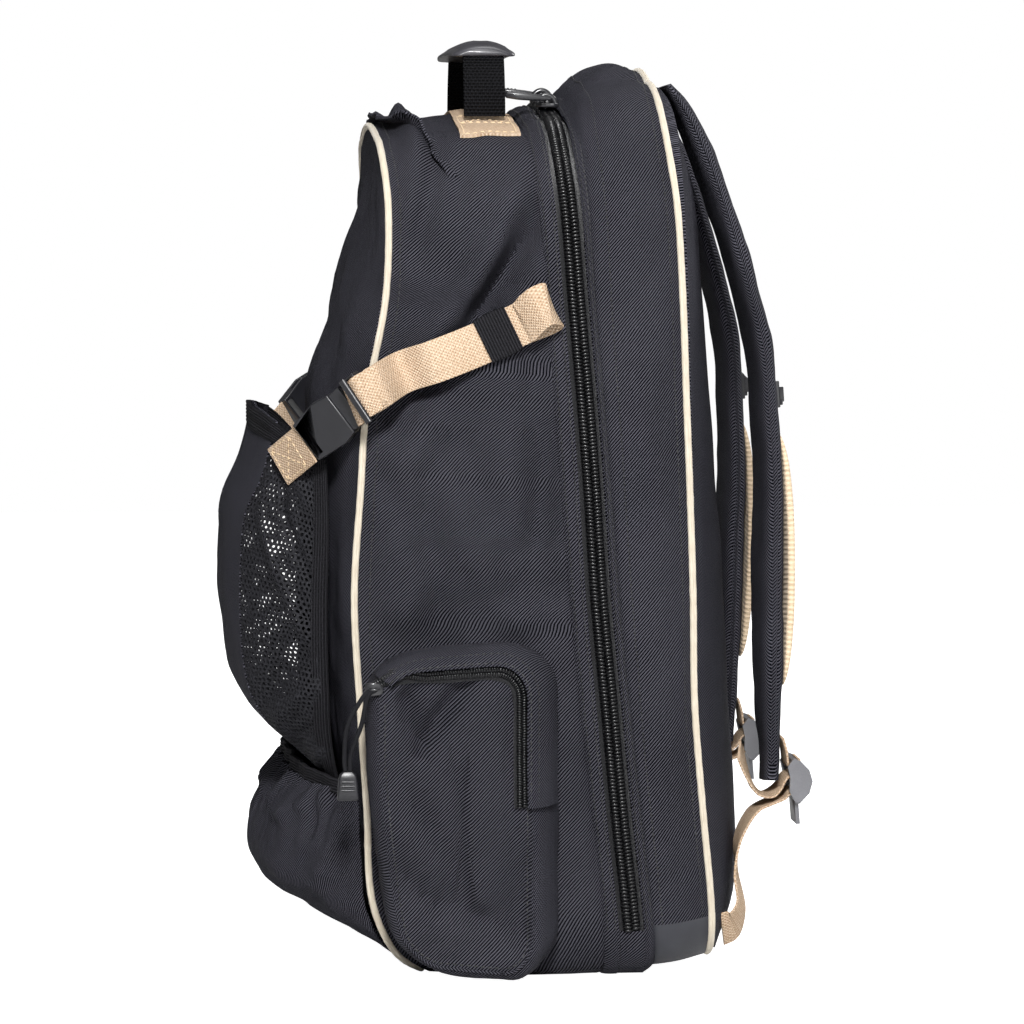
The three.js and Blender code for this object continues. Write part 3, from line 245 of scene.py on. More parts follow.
def smooth_line(points, count, closed=False):
    """A smooth curve through the points, evenly spaced."""
    points = np.asarray(points, float)
    if closed:
        points = np.concatenate([points[-2:], points, points[:3]])
    else:
        points = np.concatenate([[2 * points[0] - points[1]], points, [2 * points[-1] - points[-2]]])
    made = []
    first, last = (2, len(points) - 3) if closed else (1, len(points) - 2)
    for i in range(first, last):
        a, b, c, d = points[i - 1:i + 3]
        for t in np.linspace(0, 1, 24, endpoint=False):
            made.append(0.5 * (2 * b + (c - a) * t + (2 * a - 5 * b + 4 * c - d) * t * t
                               + (3 * b - a - 3 * c + d) * t ** 3))
    made.append(points[last])
    return resampled(made, count)


def tube(path, radius, sides=10, closed=False, up=(1, 0, 0), squash=1.0):
    """A round or flattened bar along a path. Returns points, faces and lay."""
    path = np.asarray(path, float)
    count = len(path)
    radii = np.broadcast_to(np.asarray(radius, float), (count,))
    ahead = np.roll(path, -1, 0) - np.roll(path, 1, 0) if closed else np.gradient(path, axis=0)
    ahead = ahead / np.linalg.norm(ahead, axis=1, keepdims=True)
    reference = np.broadcast_to(np.asarray(up, float), path.shape)
    side = np.cross(reference, ahead)
    side /= np.linalg.norm(side, axis=1, keepdims=True) + 1e-12
    lift = np.cross(ahead, side)
    angle = (np.arange(sides) + 0.5) / sides * 2 * math.pi
    points = (path[:, None] + radii[:, None, None] * (
        side[:, None] * np.cos(angle)[None, :, None] + squash * lift[:, None] * np.sin(angle)[None, :, None]
    )).reshape(-1, 3)
    run = np.concatenate([[0], np.cumsum(np.linalg.norm(np.diff(path, axis=0), axis=1))])
    lay = np.stack([np.repeat(run, sides), np.tile(angle, count) * np.repeat(radii, sides),
                    np.zeros(count * sides)], axis=1)
    faces = []
    for i in range(count if closed else count - 1):
        a, b = i * sides, (i + 1) % count * sides
        faces += [(a + j, a + (j + 1) % sides, b + (j + 1) % sides, b + j) for j in range(sides)]
    if not closed:
        faces.append(tuple(reversed(range(sides))))
        faces.append(tuple((count - 1) * sides + j for j in range(sides)))
    return points, faces, lay


def merged(parts):
    points, faces, lays, start = [], [], [], 0
    for part_points, part_faces, part_lay in parts:
        points.append(part_points)
        lays.append(part_lay)
        faces += [tuple(v + start for v in face) for face in part_faces]
        start += len(part_points)
    return np.concatenate(points), faces, np.concatenate(lays)


def piece(name, parts, finish, nodes=(), sharp=50):
    """Makes one piece of the bag out of its parts. It stands for the named solids."""
    points, faces, lay = merged(parts)
    mesh = bpy.data.meshes.new(name)
    mesh.from_pydata(metres(points).tolist(), [], faces)
    carried = mesh.attributes.new("lay", "FLOAT_VECTOR", "POINT")
    carried.data.foreach_set("vector", np.ascontiguousarray(lay, dtype=np.float32).ravel())
    mesh.shade_smooth()
    mesh.set_sharp_from_angle(angle=math.radians(sharp))
    mesh.materials.append(finish)
    made = add_to_scene(name, mesh)
    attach(made, "root")
    if nodes:
        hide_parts(*nodes)
    return made


def mirrored(parts):
    """The same parts on the other side of the bag."""
    return [(points * [-1, 1, 1], [tuple(reversed(face)) for face in faces], lay) for points, faces, lay in parts]


def pair(name, parts, finish, nodes=(), sharp=50):
    """The piece on the wearer's right, which the camera sees, and its mirror image on the left."""
    return {
        side: piece(name + "_" + side, parts if side == "right" else mirrored(parts), finish,
                    [node + "_" + side for node in nodes], sharp)
        for side in ("right", "left")
    }


POCKET_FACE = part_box("side_pocket_right")[1][0] * 1000 - 3.1
PULL_TOP = np.array([POCKET_FACE + 2.0, -113, 181.0])
PULL_END = np.array([POCKET_FACE - 1.5, -128, 133.0])
CORD_RADIUS = 1.4
block_shape = [  # the moulded end: height below its top, half width, half thickness
    (0, 3.4, 1.8), (1.5, 4.8, 2.5), (4, 5.4, 2.7), (13, 6.0, 2.7), (15.6, 6.4, 2.4), (16.6, 5.6, 1.4),
]


def rounded_section(half_width, half_thickness, corner, steps=4):
    """A flat outline with rounded corners, as (across, up) pairs."""
    corner = min(corner, half_width * 0.98, half_thickness * 0.98)
    outline = []
    for cx, cy, start in ((1, 1, 0), (-1, 1, 90), (-1, -1, 180), (1, -1, 270)):
        for k in range(steps + 1):
            angle = math.radians(start + 90 * k / steps)
            outline.append((cx * (half_width - corner) + corner * math.cos(angle),
                            cy * (half_thickness - corner) + corner * math.sin(angle)))
    return np.array(outline)


def lofted(sections, closed=False, lay_scale=1.0):
    """A solid through sections with the same number of corners."""
    sections = np.asarray(sections, float)
    count, corners = sections.shape[:2]
    points = sections.reshape(-1, 3)
    faces = []
    for i in range(count if closed else count - 1):
        a, b = i * corners, (i + 1) % count * corners
        faces += [(a + j, a + (j + 1) % corners, b + (j + 1) % corners, b + j) for j in range(corners)]
    if not closed:
        faces.append(tuple(reversed(range(corners))))
        faces.append(tuple((count - 1) * corners + j for j in range(corners)))
    middles = sections.mean(axis=1)
    run = np.concatenate([[0], np.cumsum(np.linalg.norm(np.diff(middles, axis=0), axis=1))])
    ring = np.linalg.norm(np.roll(sections, -1, 1) - sections, axis=2)
    around = np.concatenate([np.zeros((count, 1)), np.cumsum(ring, axis=1)[:, :-1]], axis=1)
    lay = np.stack([np.repeat(run, corners), around.ravel(), np.zeros(count * corners)], axis=1) * lay_scale
    first, second = sections[0], sections[1]
    volume = np.dot(np.cross(first[1] - first[0], first[2] - first[0]), second.mean(0) - first.mean(0))
    if volume < 0:
        faces = [tuple(reversed(face)) for face in faces]
    return points, faces, lay


block_sections = [
    [PULL_END + [up, -across, -down] for across, up in rounded_section(half_width, half_thickness, 1.4)]
    for down, half_width, half_thickness in block_shape
]
block_parts = [lofted(block_sections)]
for down in (5.5, 8, 10.5):  # the raised ribs that a finger and thumb hold
    rib = [PULL_END + [2.6, y, -down] for y in np.linspace(-3.6, 3.6, 6)]
    block_parts.append(tube(rib, 0.75, 8))
pull_blocks = pair("pocket_pull_end", block_parts, plastic, ["pocket_zip_pull"])
for mirror, side in ((1, "right"), (-1, "left")):
    for strand, apart in (("front", -1.7), ("rear", 1.7)):
        top = PULL_TOP + [0, apart * 0.75, 0]
        foot = PULL_END + [0, apart * 0.8, 0.3]
        bow = [top, top + [1.6, -5, -4], (top + foot) / 2 + [2.2, apart * 1.5 - 3.5, 4], foot + [0.6, apart * 0.3, 10], foot]
        line = smooth_line(bow, 30) * [mirror, 1, 1]
        strand_piece = piece(f"pull_cord_{strand}_{side}", [tube(line, CORD_RADIUS, 8)], cord_finish,
                             ["pocket_zip_pull_" + side])

# ---------------------------------------------------------------- Front gusset
# The wide band of black twill round the front half of the body: both sides and the top. It is one strip of
# polyester, sewn to the cream piping in front and to the zip's flap behind, and it sags into a few soft folds.
BODY_HEIGHT, BODY_DEPTH, FRONT_PLACE = 530, 200, -117
side_table = {
    "at": [0.0, 0.03, 0.09, 0.19, 0.31, 0.43, 0.55, 0.65, 0.76, 0.86, 0.93, 1.0],
    "front": [0.2, 0.1, 0.03, 0.015, -0.005, -0.02, 0.0, 0.02, 0.075, 0.085, 0.07, 0.05],
    "frontSeam": [0.715, 0.715, 0.705, 0.675, 0.64, 0.61, 0.585, 0.565, 0.545, 0.525, 0.505, 0.49],
    "zip": [0.8, 0.8, 0.785, 0.755, 0.725, 0.695, 0.675, 0.655, 0.63, 0.61, 0.595, 0.585],
    "rearSeam": [0.87, 0.87, 0.855, 0.825, 0.79, 0.76, 0.735, 0.715, 0.69, 0.675, 0.66, 0.65],
    "rear": [1.035, 1.04, 1.035, 1.01, 0.985, 0.98, 0.97, 0.96, 0.95, 0.935, 0.915, 0.9],
}
seam_lines = {  # half width, height, radius at the top corners, lift of the base
    "front": (150, 506, 58, 0),
    "frontSeam": (164, 513, 75, 0),
    "zip": (165, 518, 80.7, 0),
    "rearSeam": (164, 523, 80.7, 4.5),
    "rear": (155, 540, 92, 9),
}
TOP_TAPER, BASE_RADIUS, TOP_ARCH = 0.95, 30, 9
BASE_STEPS, CORNER_STEPS, SIDE_STEPS, SHOULDER_STEPS, TOP_STEPS = 12, 8, 112, 20, 18
SIDE_START = BASE_STEPS + CORNER_STEPS
HALF_STEPS = SIDE_START + SIDE_STEPS + SHOULDER_STEPS + TOP_STEPS
LOOP_STEPS = 2 * HALF_STEPS
CLOTH, SEAM_GAP, PIPING_SEAT = 2, 0.3, 2.6


def column(table, name, at):
    """A smooth reading of one column of a table."""
    at = np.asarray(at, float)
    places, values = np.array(table["at"], float), np.array(table[name], float)
    count = len(places)
    ahead, behind = np.minimum(np.arange(count) + 1, count - 1), np.maximum(np.arange(count) - 1, 0)
    slope = (values[ahead] - values[behind]) / (places[ahead] - places[behind])
    high = np.clip(np.searchsorted(places, at), 1, count - 1)
    low = high - 1
    span = places[high] - places[low]
    t = np.clip((at - places[low]) / span, 0, 1)
    return ((1 + 2 * t) * (1 - t) ** 2 * values[low] + t * t * (3 - 2 * t) * values[high]
            + span * (t * (1 - t) ** 2 * slope[low] + t * t * (t - 1) * slope[high]))


def seam_y(name, z):
    return FRONT_PLACE + BODY_DEPTH * column(side_table, name, np.asarray(z, float) / BODY_HEIGHT)


def half_outline(name):
    half_width, height, radius, foot = seam_lines[name]
    shoulder = half_width * TOP_TAPER
    shoulder_height = height - TOP_ARCH - radius
    quarter = math.pi / 2

    def turn(steps):
        return (np.arange(steps) + 1) / steps

    def joined(x, z):
        return np.stack(np.broadcast_arrays(x, z), axis=1)

    base, corner, side, bend, top = (turn(n) for n in (BASE_STEPS, CORNER_STEPS, SIDE_STEPS, SHOULDER_STEPS, TOP_STEPS))
    line = np.concatenate([
        [[0, 0]],
        joined((half_width - BASE_RADIUS) * base, 0 * base),
        joined(half_width - BASE_RADIUS + BASE_RADIUS * np.sin(quarter * corner),
               BASE_RADIUS - BASE_RADIUS * np.cos(quarter * corner)),
        joined(half_width + (shoulder - half_width) * side ** 2,
               BASE_RADIUS + (shoulder_height - BASE_RADIUS) * side),
        joined(shoulder - radius + radius * np.cos(quarter * bend), shoulder_height + radius * np.sin(quarter * bend)),
        joined((shoulder - radius) * (1 - top), height - TOP_ARCH * (1 - top) ** 2),
    ])
    line[:, 1] += foot * np.clip(1 - line[:, 1] / (4 * BASE_RADIUS), 0, 1)
    return line


def loop_of(name, shift=0.0):
    """A whole seam line round the bag, moved in the cloth towards the wearer's back."""
    half = half_outline(name)
    whole = np.concatenate([half, half[1:-1][::-1] * [-1, 1]])
    line = np.stack([whole[:, 0], seam_y(name, whole[:, 1]), whole[:, 1]], axis=1)
    ahead = np.roll(line, -1, 0) - np.roll(line, 1, 0)
    lean = ahead[:, 1] / np.linalg.norm(ahead, axis=1)
    line[:, 1] += shift / np.sqrt(1 - lean ** 2)
    return line


loop_index = np.arange(LOOP_STEPS)
loop_index = np.where(loop_index <= HALF_STEPS, loop_index, LOOP_STEPS - loop_index)
top_slack = np.clip((loop_index - SIDE_START - SIDE_STEPS) / SHOULDER_STEPS, 0, 1)
side_slack = np.where(loop_index <= SIDE_START, np.clip((loop_index - BASE_STEPS) / CORNER_STEPS, 0, 1), 1 - top_slack)


def band(start, end, rows, rise, columns=None):
    """Points of a strip of cloth between two seam lines; rise(share, points) lifts it off the straight."""
    columns = np.arange(LOOP_STEPS) if columns is None else np.asarray(columns) % LOOP_STEPS
    ahead = np.roll(start, -1, 0) - np.roll(start, 1, 0)
    out = np.stack([ahead[:, 2], 0 * ahead[:, 0], -ahead[:, 0]], axis=1)
    out /= np.linalg.norm(out, axis=1, keepdims=True)
    strip = []
    for share in np.linspace(0, 1, rows):
        points = start + (end - start) * share
        strip.append((points + out * np.broadcast_to(rise(share, points), (LOOP_STEPS,))[:, None])[columns])
    return np.array(strip)


def lengths(points, axis):
    step = np.linalg.norm(np.diff(points, axis=axis), axis=2)
    first = np.zeros_like(np.take(step, [0], axis=axis))
    return np.concatenate([first, np.cumsum(step, axis=axis)], axis=axis)


BAG_MIDDLE = np.array([0, -20, 260])


def wall(points, thickness, closed=False, inside=BAG_MIDDLE, lay=None, wear=0.0, centre=False):
    """A wall of cloth: a grid of outer points and the same grid moved in along its normals. With centre, the last
    row closes round a middle point."""
    points = np.asarray(points, float)
    rows, columns = points.shape[:2]
    across = np.gradient(points, axis=0)
    along = (np.roll(points, -1, 1) - np.roll(points, 1, 1)) if closed else np.gradient(points, axis=1)
    normals = np.cross(along, across)
    normals /= np.linalg.norm(normals, axis=2, keepdims=True) + 1e-12
    turned = np.sum(normals * (points - inside)) < 0
    if turned:
        normals = -normals
    if lay is None:
        middle_row = lengths(points[rows // 2][None], 1)[0]
        lay = np.stack([np.broadcast_to(middle_row, (rows, columns)), lengths(points, 0),
                        np.broadcast_to(wear, (rows, columns))], axis=2)
    count = rows * columns
    i, j = np.meshgrid(np.arange(rows - 1), np.arange(columns if closed else columns - 1), indexing="ij")
    a = i * columns + j
    b = i * columns + (j + 1) % columns
    c, d = b + columns, a + columns
    outer_faces = np.stack([a, b, c, d], axis=2).reshape(-1, 4)
    if turned:
        outer_faces = outer_faces[:, ::-1]
    inner_points = points - normals * thickness
    all_points = [points.reshape(-1, 3), inner_points.reshape(-1, 3)]
    all_lay = [lay.reshape(-1, 3)] * 2
    faces = outer_faces.tolist() + (outer_faces[:, ::-1] + count).tolist()

    def rim(line, flip):
        for p, q in zip(line[:-1], line[1:]):
            quad = (p, q, q + count, p + count)
            faces.append(quad[::-1] if flip != turned else quad)

    first_row = list(range(columns)) + ([0] if closed else [])
    rim(first_row, True)
    if centre:
        tip = 2 * count
        last = points[-1].mean(axis=0)
        all_points.append(np.array([last, last - normals[-1].mean(axis=0) * thickness]))
        all_lay.append(np.array([lay[-1].mean(axis=0)] * 2))
        ring = [count - columns + k for k in range(columns)]
        for p, q in zip(ring, ring[1:] + ring[:1]):
            outer, inner = (p, q, tip), (q + count, p + count, tip + 1)
            faces += [outer[::-1], inner[::-1]] if turned else [outer, inner]
    else:
        rim([count - columns + k for k in first_row], False)
    if not closed:
        rim([k * columns for k in range(rows)], False)
        rim([k * columns + columns - 1 for k in range(rows)], True)
    return np.concatenate(all_points), [tuple(face) for face in faces], np.concatenate(all_lay)


def crumple(points, size, seed=0.0):
    """Soft uneven dents from -1 to 1, about as wide as size."""
    flat = np.asarray(points, float).reshape(-1, 3) / size
    values = [noise.noise(Vector((x + seed, y, z))) for x, y, z in flat]
    return np.array(values).reshape(np.asarray(points).shape[:-1])


def crease(share, height, start, end, width):
    """How much of a fold is at each point: 1 along the line from start to end, fading over width."""
    reach = np.array([BODY_DEPTH * 0.6, 1.0])
    start, end = np.array(start) * reach, np.array(end) * reach
    along = end - start
    away = np.stack([share * reach[0] - start[0], height - start[1]], axis=-1)
    t = np.clip(away @ along / (along @ along), 0, 1)
    distance = np.linalg.norm(away - t[..., None] * along, axis=-1)
    return np.exp(-(distance / width) ** 2)


GUSSET_FOLDS = [  # ends as (share of the gusset's depth, height), width and depth in millimetres
    ((1.0, 462), (0.12, 335), 12, 13.0),
    ((1.0, 486), (0.25, 372), 13, -8.0),
    ((0.9, 392), (0.86, 233), 12, 5.6),
    ((1.0, 420), (0.97, 250), 8, -3.0),
    ((0.15, 329), (0.2, 223), 18, -5.0),
    ((0.3, 300), (0.38, 200), 9, 3.6),
    ((0.95, 455), (0.5, 395), 6, 3.4),
    ((0.7, 440), (0.35, 372), 5, -2.4),
    ((0.35, 492), (0.12, 430), 8, 4.6),
    ((0.6, 498), (0.4, 458), 7, 3.0),
    ((1.0, 330), (0.8, 262), 7, 3.0),
    ((1.0, 268), (0.7, 214), 8, -3.0),
    ((0.12, 480), (0.1, 410), 7, -3.0),
    ((0.05, 300), (0.28, 262), 8, 2.6),
    ((0.45, 318), (0.75, 236), 12, 4.0),
    ((0.9, 214), (0.97, 110), 6, 2.6),
]


def tucked(share, start):
    """0 up to the start of a tucked edge and 1 from half way along it."""
    t = np.clip((share - start) / (1 - start) * 2, 0, 1)
    return t * t * (3 - 2 * t)


def gusset_rise(share, points):
    height = points[:, 2]
    rise = 4 * share * (1 - share) * (7 * side_slack + 3 * top_slack)
    folds = sum(-1.7 * depth * crease(np.full(LOOP_STEPS, share), height, start, end, width)
                for start, end, width, depth in GUSSET_FOLDS)
    rise = rise + folds * side_slack * math.sin(math.pi * share) ** 0.5
    soft = crumple(points, 46) * 6.2 + crumple(points, 19, 7.0) * 2.4
    near_seam = math.exp(-share / 0.05) + math.exp(-(1 - share) / 0.05)
    pucker = 0.35 * np.sin(np.arange(LOOP_STEPS) * 2.1) * near_seam
    edge = min(1, share / 0.08, (1 - share) / 0.08)
    slack = np.maximum(side_slack, 0.7 * top_slack)
    rise = rise - SEAM_SINK * tucked(share, 0.945)
    # A crumpled ridge stands across the top, just behind the front piping.
    ridge = 8.5 * math.exp(-((share - 0.2) / 0.075) ** 2) * top_slack * np.clip(
        1 + 0.5 * crumple(points, 26, 3.0), 0.2, 1.6)
    return rise + (soft * edge + pucker) * slack + ridge


def twill(name, dark, light, pitch=2.1, sheen=0.0, roughness=0.6):
    """Polyester twill: fine ribs on the slant and uneven threads. The third number each point carries is added to the
    colour; every piece here leaves it at 0.
    """
    made = finish_of(name, light, roughness, sheen=sheen, specular=0.02)
    along, across, wear, lay = along_cloth(made)
    rib = waves(made, maths(made, "SUBTRACT", along, across), pitch)
    thread = waves(made, maths(made, "ADD", along, across), pitch * 0.55)
    uneven = speckle(made, lay, 1.2, 2)
    patch = speckle(made, object_place(made), 14, 4)
    height = maths(made, "MULTIPLY_ADD", thread, 0.5, rib)
    share = maths(made, "MULTIPLY_ADD", height, 0.5, maths(made, "MULTIPLY_ADD", uneven, 0.6, -0.02))
    share = maths(made, "MULTIPLY_ADD", patch, 0.4, share)
    share = maths(made, "ADD", share, wear)
    coloured(made, share, [(0.3, dark), (0.8, light)])
    roughened(made, patch, roughness - 0.08, roughness + 0.1)
    raised(made, height, 0.3, 0.9)
    return made


black_twill = twill("black_twill", (0.0014, 0.0015, 0.0026), (0.078, 0.077, 0.094))


SEAM_TUCK, SEAM_SINK = 5, 2.7  # how far a panel runs on under the next one's folded edge, and how deep
gusset_start, gusset_end = loop_of("front", 1.9), loop_of("frontSeam", SEAM_TUCK)
gusset_points = band(gusset_start, gusset_end, 44, gusset_rise)
gusset = piece("front_gusset_cloth", [wall(gusset_points, CLOTH, closed=True)], black_twill, ["front_gusset"])


def surface_of(made):
    """The surface of a finished piece, in metres, for what is sewn on it."""
    mesh = made.data
    return BVHTree.FromPolygons([v.co for v in mesh.vertices], [p.vertices for p in mesh.polygons])


gusset_surface = surface_of(gusset)

# The seam allowance of the top stands up in a crumpled ridge between the front piping and the handle.
fold_line = [(-150, -52, 0.5), (-120, -80, 3), (-70, -92, 6), (-10, -97, 5.5), (50, -93, 6), (92, -85, 7.5),
             (116, -75, 7), (130, -66, 4), (138, -60, 0.5)]
fold_path = smooth_line(fold_line, 120)
fold_foot = np.array([[x, y, 560] for x, y, _ in fold_path])


def seated(surface, points, towards, stand=0.0, reach=90):
    """Points carried along a direction on to a surface, and which way the surface faces there."""
    towards = Vector(towards).normalized()
    places, slopes = [], []
    for point in np.asarray(points, float).reshape(-1, 3):
        spot, slope, _, _ = surface.ray_cast(Vector(metres(point)) - towards * (reach / 1000), towards)
        if spot is None:
            spot, slope, _, _ = surface.find_nearest(Vector(metres(point)))
        slope = -slope if slope.dot(towards) > 0 else slope
        places.append(np.array(spot) * 1000 - BAG_SHIFT + np.array(slope) * stand)
        slopes.append(np.array(slope))
    return np.array(places), np.array(slopes)


fold_seat, fold_up = seated(gusset_surface, fold_foot, (0, 0, -1))
fold_rows = []
for share in np.linspace(0, 1, 9):
    lean = crumple(fold_seat, 14, 9.0)[:, None] * [1.2, 2.0, 0] + crumple(fold_seat, 6, 13.0)[:, None] * [0.5, 1.2, 0]
    rise = fold_path[:, 2] * (1 + 0.35 * crumple(fold_seat, 9, 17.0))
    fold_rows.append(fold_seat + fold_up * (share * rise - 1.2)[:, None] + lean * share ** 1.4
                     + np.array([0, -4.5, 0]) * share ** 2)
fold_points = np.array(fold_rows)
piece("top_seam_fold", [wall(fold_points, 1.6, inside=np.array([0, -40, 480]))], black_twill, ["front_gusset"])

# ---------------------------------------------------------------- Front panel
# The front of the body, behind the helmet sling: one panel of the same twill, sewn inside the front piping. Packed
# full, it bows out over the sling and hangs in slack folds above it.
crown_table = {
    "at": [0.0, 0.03, 0.08, 0.19, 0.31, 0.55, 0.66, 0.76, 0.86, 0.95, 1.0],
    "front": [0.0, 0.1, 0.25, 0.45, 0.6, 0.9, 1.0, 0.95, 0.55, 0.1, 0.0],
    "rear": [0.0, 0.42, 0.8, 1.0, 1.0, 0.85, 0.76, 0.7, 0.62, 0.35, 0.0],
}
FRONT_BULGE, PAD_BULGE, PANEL_SEAT = 28, 34, 1.9


def piping_line(name, radius=2.1):
    line = loop_of(name)
    lifted = line[:, 2] + radius * np.clip(1 - line[:, 2] / BASE_RADIUS, 0, 1)
    return np.stack([line[:, 0], seam_y(name, lifted), lifted], axis=1)


def crown_points(name, side, rings, puff=None):
    half_width, height, _, _ = seam_lines[name]
    line = piping_line(name)
    middle = height * 0.48
    rows = []
    for ring in range(rings):
        share = 1 - (ring / rings) ** 0.9
        x = line[:, 0] * (half_width - PANEL_SEAT) / half_width * share
        z = middle + (line[:, 2] - middle) * (middle - PANEL_SEAT) / middle * share
        reach = FRONT_BULGE if side < 0 else PAD_BULGE
        crown = reach * column(crown_table, "front" if side < 0 else "rear", z / height)
        y = seam_y(name, z) + side * crown * (1 - np.abs(x / half_width) ** (2.2 if side < 0 else 3))
        points = np.stack([x, y, z], axis=1)
        if puff is not None:
            points[:, 1] += side * puff(points, share)
        rows.append(points)
    return np.array(rows)


def flat_lay(points, wear=0.0):
    return np.stack([points[..., 0], points[..., 2], np.broadcast_to(wear, points.shape[:-1])], axis=-1)


def front_puff(points, share):
    edge = np.clip((1 - share) / 0.06, 0, 1)
    soft = crumple(points, 42, 11.0) * 3.0 + crumple(points, 17, 5.0) * 1.1
    drape = 2.4 * np.sin(points[:, 2] / 17 + np.abs(points[:, 0]) / 30) * np.exp(-((points[:, 2] - 395) / 60) ** 2)
    return (soft + drape) * edge


front_points = crown_points("front", -1, 46, front_puff)
front_panel = piece("front_panel_cloth", [wall(front_points, CLOTH, closed=True, lay=flat_lay(front_points), centre=True)],
                    black_twill, ["front_panel"])

# ---------------------------------------------------------------- Back panel
# The padded panel against the wearer's back: foam between two layers of twill, sewn inside the rear piping and
# stitched down in two upright channels.


def back_puff(points, share):
    edge = np.clip((1 - share) / 0.05, 0, 1)
    channel = np.exp(-((np.abs(points[:, 0]) - 52) / 4.5) ** 2)
    inner = np.clip((470 - points[:, 2]) / 30, 0, 1) * np.clip((points[:, 2] - 50) / 30, 0, 1)
    return (crumple(points, 50, 21.0) * 1.4 - 3.2 * channel * inner) * edge


back_points = crown_points("rear", 1, 46, back_puff)
back_pad = piece("back_padding", [wall(back_points, 9, closed=True, lay=flat_lay(back_points), centre=True)],
                 black_twill, ["back_pad"])

# ---------------------------------------------------------------- Piping
# Two lines of cream piping where the front and back panels meet the body: cotton cord inside a folded strip, with
# the fold's two edges caught in the seam.


def woven_piping():
    made = finish_of("cream_piping", (0.7, 0.6, 0.47), 0.75, sheen=0.2)
    along, across, _, lay = along_cloth(made)
    weave = maths(made, "MULTIPLY", waves(made, along, 0.9), waves(made, across, 0.9))
    patch = speckle(made, lay, 0.12, 3)
    share = maths(made, "MULTIPLY_ADD", weave, 0.12, patch)
    coloured(made, share, [(0.2, (0.5, 0.43, 0.33)), (0.8, (0.63, 0.57, 0.465))])
    raised(made, weave, 0.1, 0.6)
    return made


cream = woven_piping()
PIPING_RADIUS = 2.1
for name, node in (("front", "front_piping"), ("rear", "rear_piping")):
    line = piping_line(name)
    ripple = PIPING_RADIUS * (1 + 0.035 * np.sin(np.arange(LOOP_STEPS) * 1.7) + 0.03 * crumple(line, 9))
    piece(node + "_cord", [tube(line, ripple, 12, closed=True, up=(0, 1, 0))], cream, [node])

# ---------------------------------------------------------------- Main zip
# A size 10 coil zip round the body, so that it opens like a suitcase. The black nylon coil sits proud on its woven
# tape between two folded flaps of twill.
COIL_WIDTH, COIL_HEIGHT, TAPE_SHOW = 10.5, 3.2, 2.5
FLAP_EDGE = COIL_WIDTH / 2 + TAPE_SHOW


def front_flap_rise(share, points):
    fold = 1.9 * math.sin(math.pi * min(1, share * 1.15)) ** 0.7 + 0.7 * share
    return fold * np.maximum(side_slack, top_slack) + 0.5 * crumple(points, 24, 31.0) * min(1, 8 * share)


def rear_flap_rise(share, points):
    fold = 1.9 * math.sin(math.pi * min(1, (1 - share) * 1.15)) ** 0.7 + 0.7 * (1 - share)
    return fold * np.maximum(side_slack, top_slack) + 0.5 * crumple(points, 24, 41.0) * min(1, 8 * (1 - share))


flap_front_points = band(loop_of("frontSeam"), loop_of("zip", -FLAP_EDGE), 16, front_flap_rise)
flap_rear_points = band(loop_of("zip", FLAP_EDGE), loop_of("rearSeam", -SEAM_GAP), 16, rear_flap_rise)
flap_front = piece("zip_flap_front_cloth", [wall(flap_front_points, CLOTH, closed=True)], black_twill,
                   ["zip_flap_front"])
flap_rear = piece("zip_flap_rear_cloth", [wall(flap_rear_points, CLOTH, closed=True)], black_twill,
                  ["zip_flap_rear"])

zip_columns = np.arange(SIDE_START, LOOP_STEPS - SIDE_START + 1)
tape_finish = twill("zip_tape_weave", (0.004, 0.004, 0.005), (0.016, 0.016, 0.02), pitch=0.8, sheen=0.2)
TAPE_REACH, TAPE_LIFT = FLAP_EDGE + 5, -1.0


def tape_rise(share, points):
    """The tape is level under the coil and drops under both flaps."""
    return TAPE_LIFT - 2.0 * tucked(abs(2 * share - 1), 0.55)


tape_points = band(loop_of("zip", -TAPE_REACH), loop_of("zip", TAPE_REACH), 16, tape_rise, zip_columns)
piece("main_zip_tape_weave", [wall(tape_points, 1)], tape_finish, ["main_zip_tape"])


